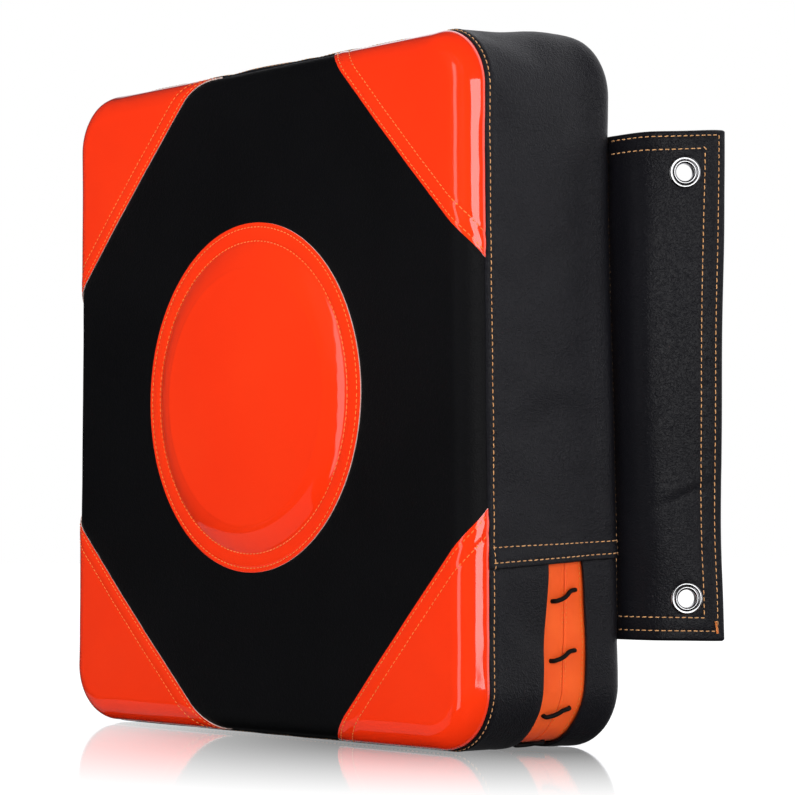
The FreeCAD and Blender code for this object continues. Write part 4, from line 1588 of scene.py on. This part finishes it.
def softbox(name, azimuth, elevation, distance, width, height, radiance, mirrored=True,
            diffuse=True, aim=(0, -0.05, 0)):
    """A rectangular light seen from the pad at an azimuth from -Y towards +X."""
    data = bpy.data.lights.new(name, "AREA")
    data.shape = "RECTANGLE"
    data.size, data.size_y = width, height
    data.energy = radiance * math.pi * width * height
    made = bpy.data.objects.new(name, data)
    bpy.context.scene.collection.objects.link(made)
    a, e = math.radians(azimuth), math.radians(elevation)
    way = Vector((math.sin(a) * math.cos(e), -math.cos(a) * math.cos(e), math.sin(e)))
    made.location = Vector(aim) + way * distance
    made.rotation_euler = (-way).to_track_quat("-Z", "Y").to_euler()
    made.visible_glossy = mirrored
    made.visible_diffuse = diffuse


def world():
    """A white studio behind the pad, and a dark room in front of it."""
    made = bpy.data.worlds.new("studio")
    bpy.context.scene.world = made
    made.use_nodes = True
    tree = made.node_tree
    tree.nodes.clear()
    way = add_node(tree, "SeparateXYZ", i0=add_node(tree, "TexCoord").outputs["Generated"])
    behind = add_node(tree, "MapRange", Value=way.outputs["Y"], From_Min=-1.0)
    ramp = add_node(tree, "ValToRGB", Fac=behind.outputs["Result"])
    for element, (position, colour) in zip(ramp.color_ramp.elements, (ROOM_FRONT, ROOM_BACK)):
        element.position = position
        element.color = colour
    above = add_node(tree, "MapRange", Value=way.outputs["Z"], From_Min=GROUND_FADE[0],
                     From_Max=GROUND_FADE[1], To_Min=GROUND_SHARE)
    room = add_node(tree, "Background", Color=ramp.outputs["Color"],
                    Strength=above.outputs["Result"])
    white = add_node(tree, "Background", Color=(1, 1, 1, 1))
    seen = add_node(tree, "LightPath").outputs["Is Camera Ray"]
    mix = add_node(tree, "MixShader", Fac=seen, i1=room.outputs[0], i2=white.outputs[0])
    add_node(tree, "OutputWorld", Surface=mix.outputs[0])


def floor():
    """A pale floor with a faint mirror image."""
    z = -HALF_H - FLOOR_GAP
    corners = [(-FLOOR_HALF, -FLOOR_HALF, z), (FLOOR_HALF, -FLOOR_HALF, z),
               (FLOOR_HALF, FLOOR_HALF, z), (-FLOOR_HALF, FLOOR_HALF, z)]
    material = bpy.data.materials.new("floor")
    material.use_nodes = True
    tree = material.node_tree
    tree.nodes.clear()
    matte = add_node(tree, "BsdfDiffuse", Color=(0.85, 0.85, 0.85, 1))
    glow = add_node(tree, "Emission", Strength=FLOOR_WHITE)
    seen = add_node(tree, "LightPath").outputs["Is Camera Ray"]
    lit = add_node(tree, "MixShader", Fac=seen, i1=matte.outputs[0], i2=glow.outputs[0])
    gloss = add_node(tree, "BsdfGlossy", Color=(1, 1, 1, 1), Roughness=0.06)
    # The mirror image fades out around the foot of the pad's lace side, and behind the pad.
    where = add_node(tree, "NewGeometry").outputs["Position"]
    foot = ((HALF_W - 90) * MM, 0.03, z * MM)
    away = add_node(tree, "VectorMath", i0=where, i1=foot)
    away.operation = "DISTANCE"
    near = add_node(tree, "MapRange", Value=away.outputs["Value"], From_Min=MIRROR_FADE[0],
                    From_Max=MIRROR_FADE[1], To_Min=MIRROR, To_Max=0.0)
    depth = add_node(tree, "SeparateXYZ", i0=where).outputs["Y"]
    front = add_node(tree, "MapRange", Value=depth, From_Min=-0.02, From_Max=0.06,
                     To_Min=1.0, To_Max=0.0)
    polish = add_node(tree, "Fresnel", IOR=1.45)
    strength = near.outputs["Result"]
    for factor in (front.outputs["Result"], polish.outputs[0]):
        both = add_node(tree, "Math", i0=strength, i1=factor)
        both.operation = "MULTIPLY"
        strength = both.outputs[0]
    mix = add_node(tree, "MixShader", Fac=strength, i1=lit.outputs[0], i2=gloss.outputs[0])
    add_node(tree, "OutputMaterial", Surface=mix.outputs[0])
    made = build("floor", corners, [(0, 1, 2, 3)], [material], smooth=False)
    made.visible_glossy = False


def studio():
    camera()
    world()
    floor()
    softbox("key", 79, 6.8, 2.2, 1.15, 1.04, 2.8)
    softbox("overhead", 5, 28, 2.0, 2.4, 1.4, 3.9, mirrored=False)
    softbox("side_fill", 85, 15, 2.0, 1.2, 1.2, 2.4, mirrored=False)
    softbox("strip", -2, 4, 2.0, 0.46, 2.2, 1.15, diffuse=False)
    softbox("low", -58, -28, 2.0, 2.4, 0.8, 0.12, diffuse=False)
    bpy.context.scene.view_settings.view_transform = "Standard"


# ---- The whole object --------------------------------------------------------------------------
studio()
SWELL = Swell()
front_panel()
fine = panel(1.4, front_rim(18, 1.4))
made_patches = {name: corner_patch(name, fine, sizes) for name, sizes in PATCHES.items()}
disc_piece = target_disc()
upper_gusset()
lower_gusset("lower_gusset_front_cover", rear=False)
lower_gusset("lower_gusset_rear_cover", rear=True)
closure_tape("closure_tape_front", front=True)
closure_tape("closure_tape_rear", front=False)
closure_lace()
back_panel()
seam_stitching()
hem_stitching()
tape_stitching()
patch_stitching(made_patches)
disc_stitching(disc_piece)
side_flap("right", 1)
side_flap("left", -1)
paint_nodes()
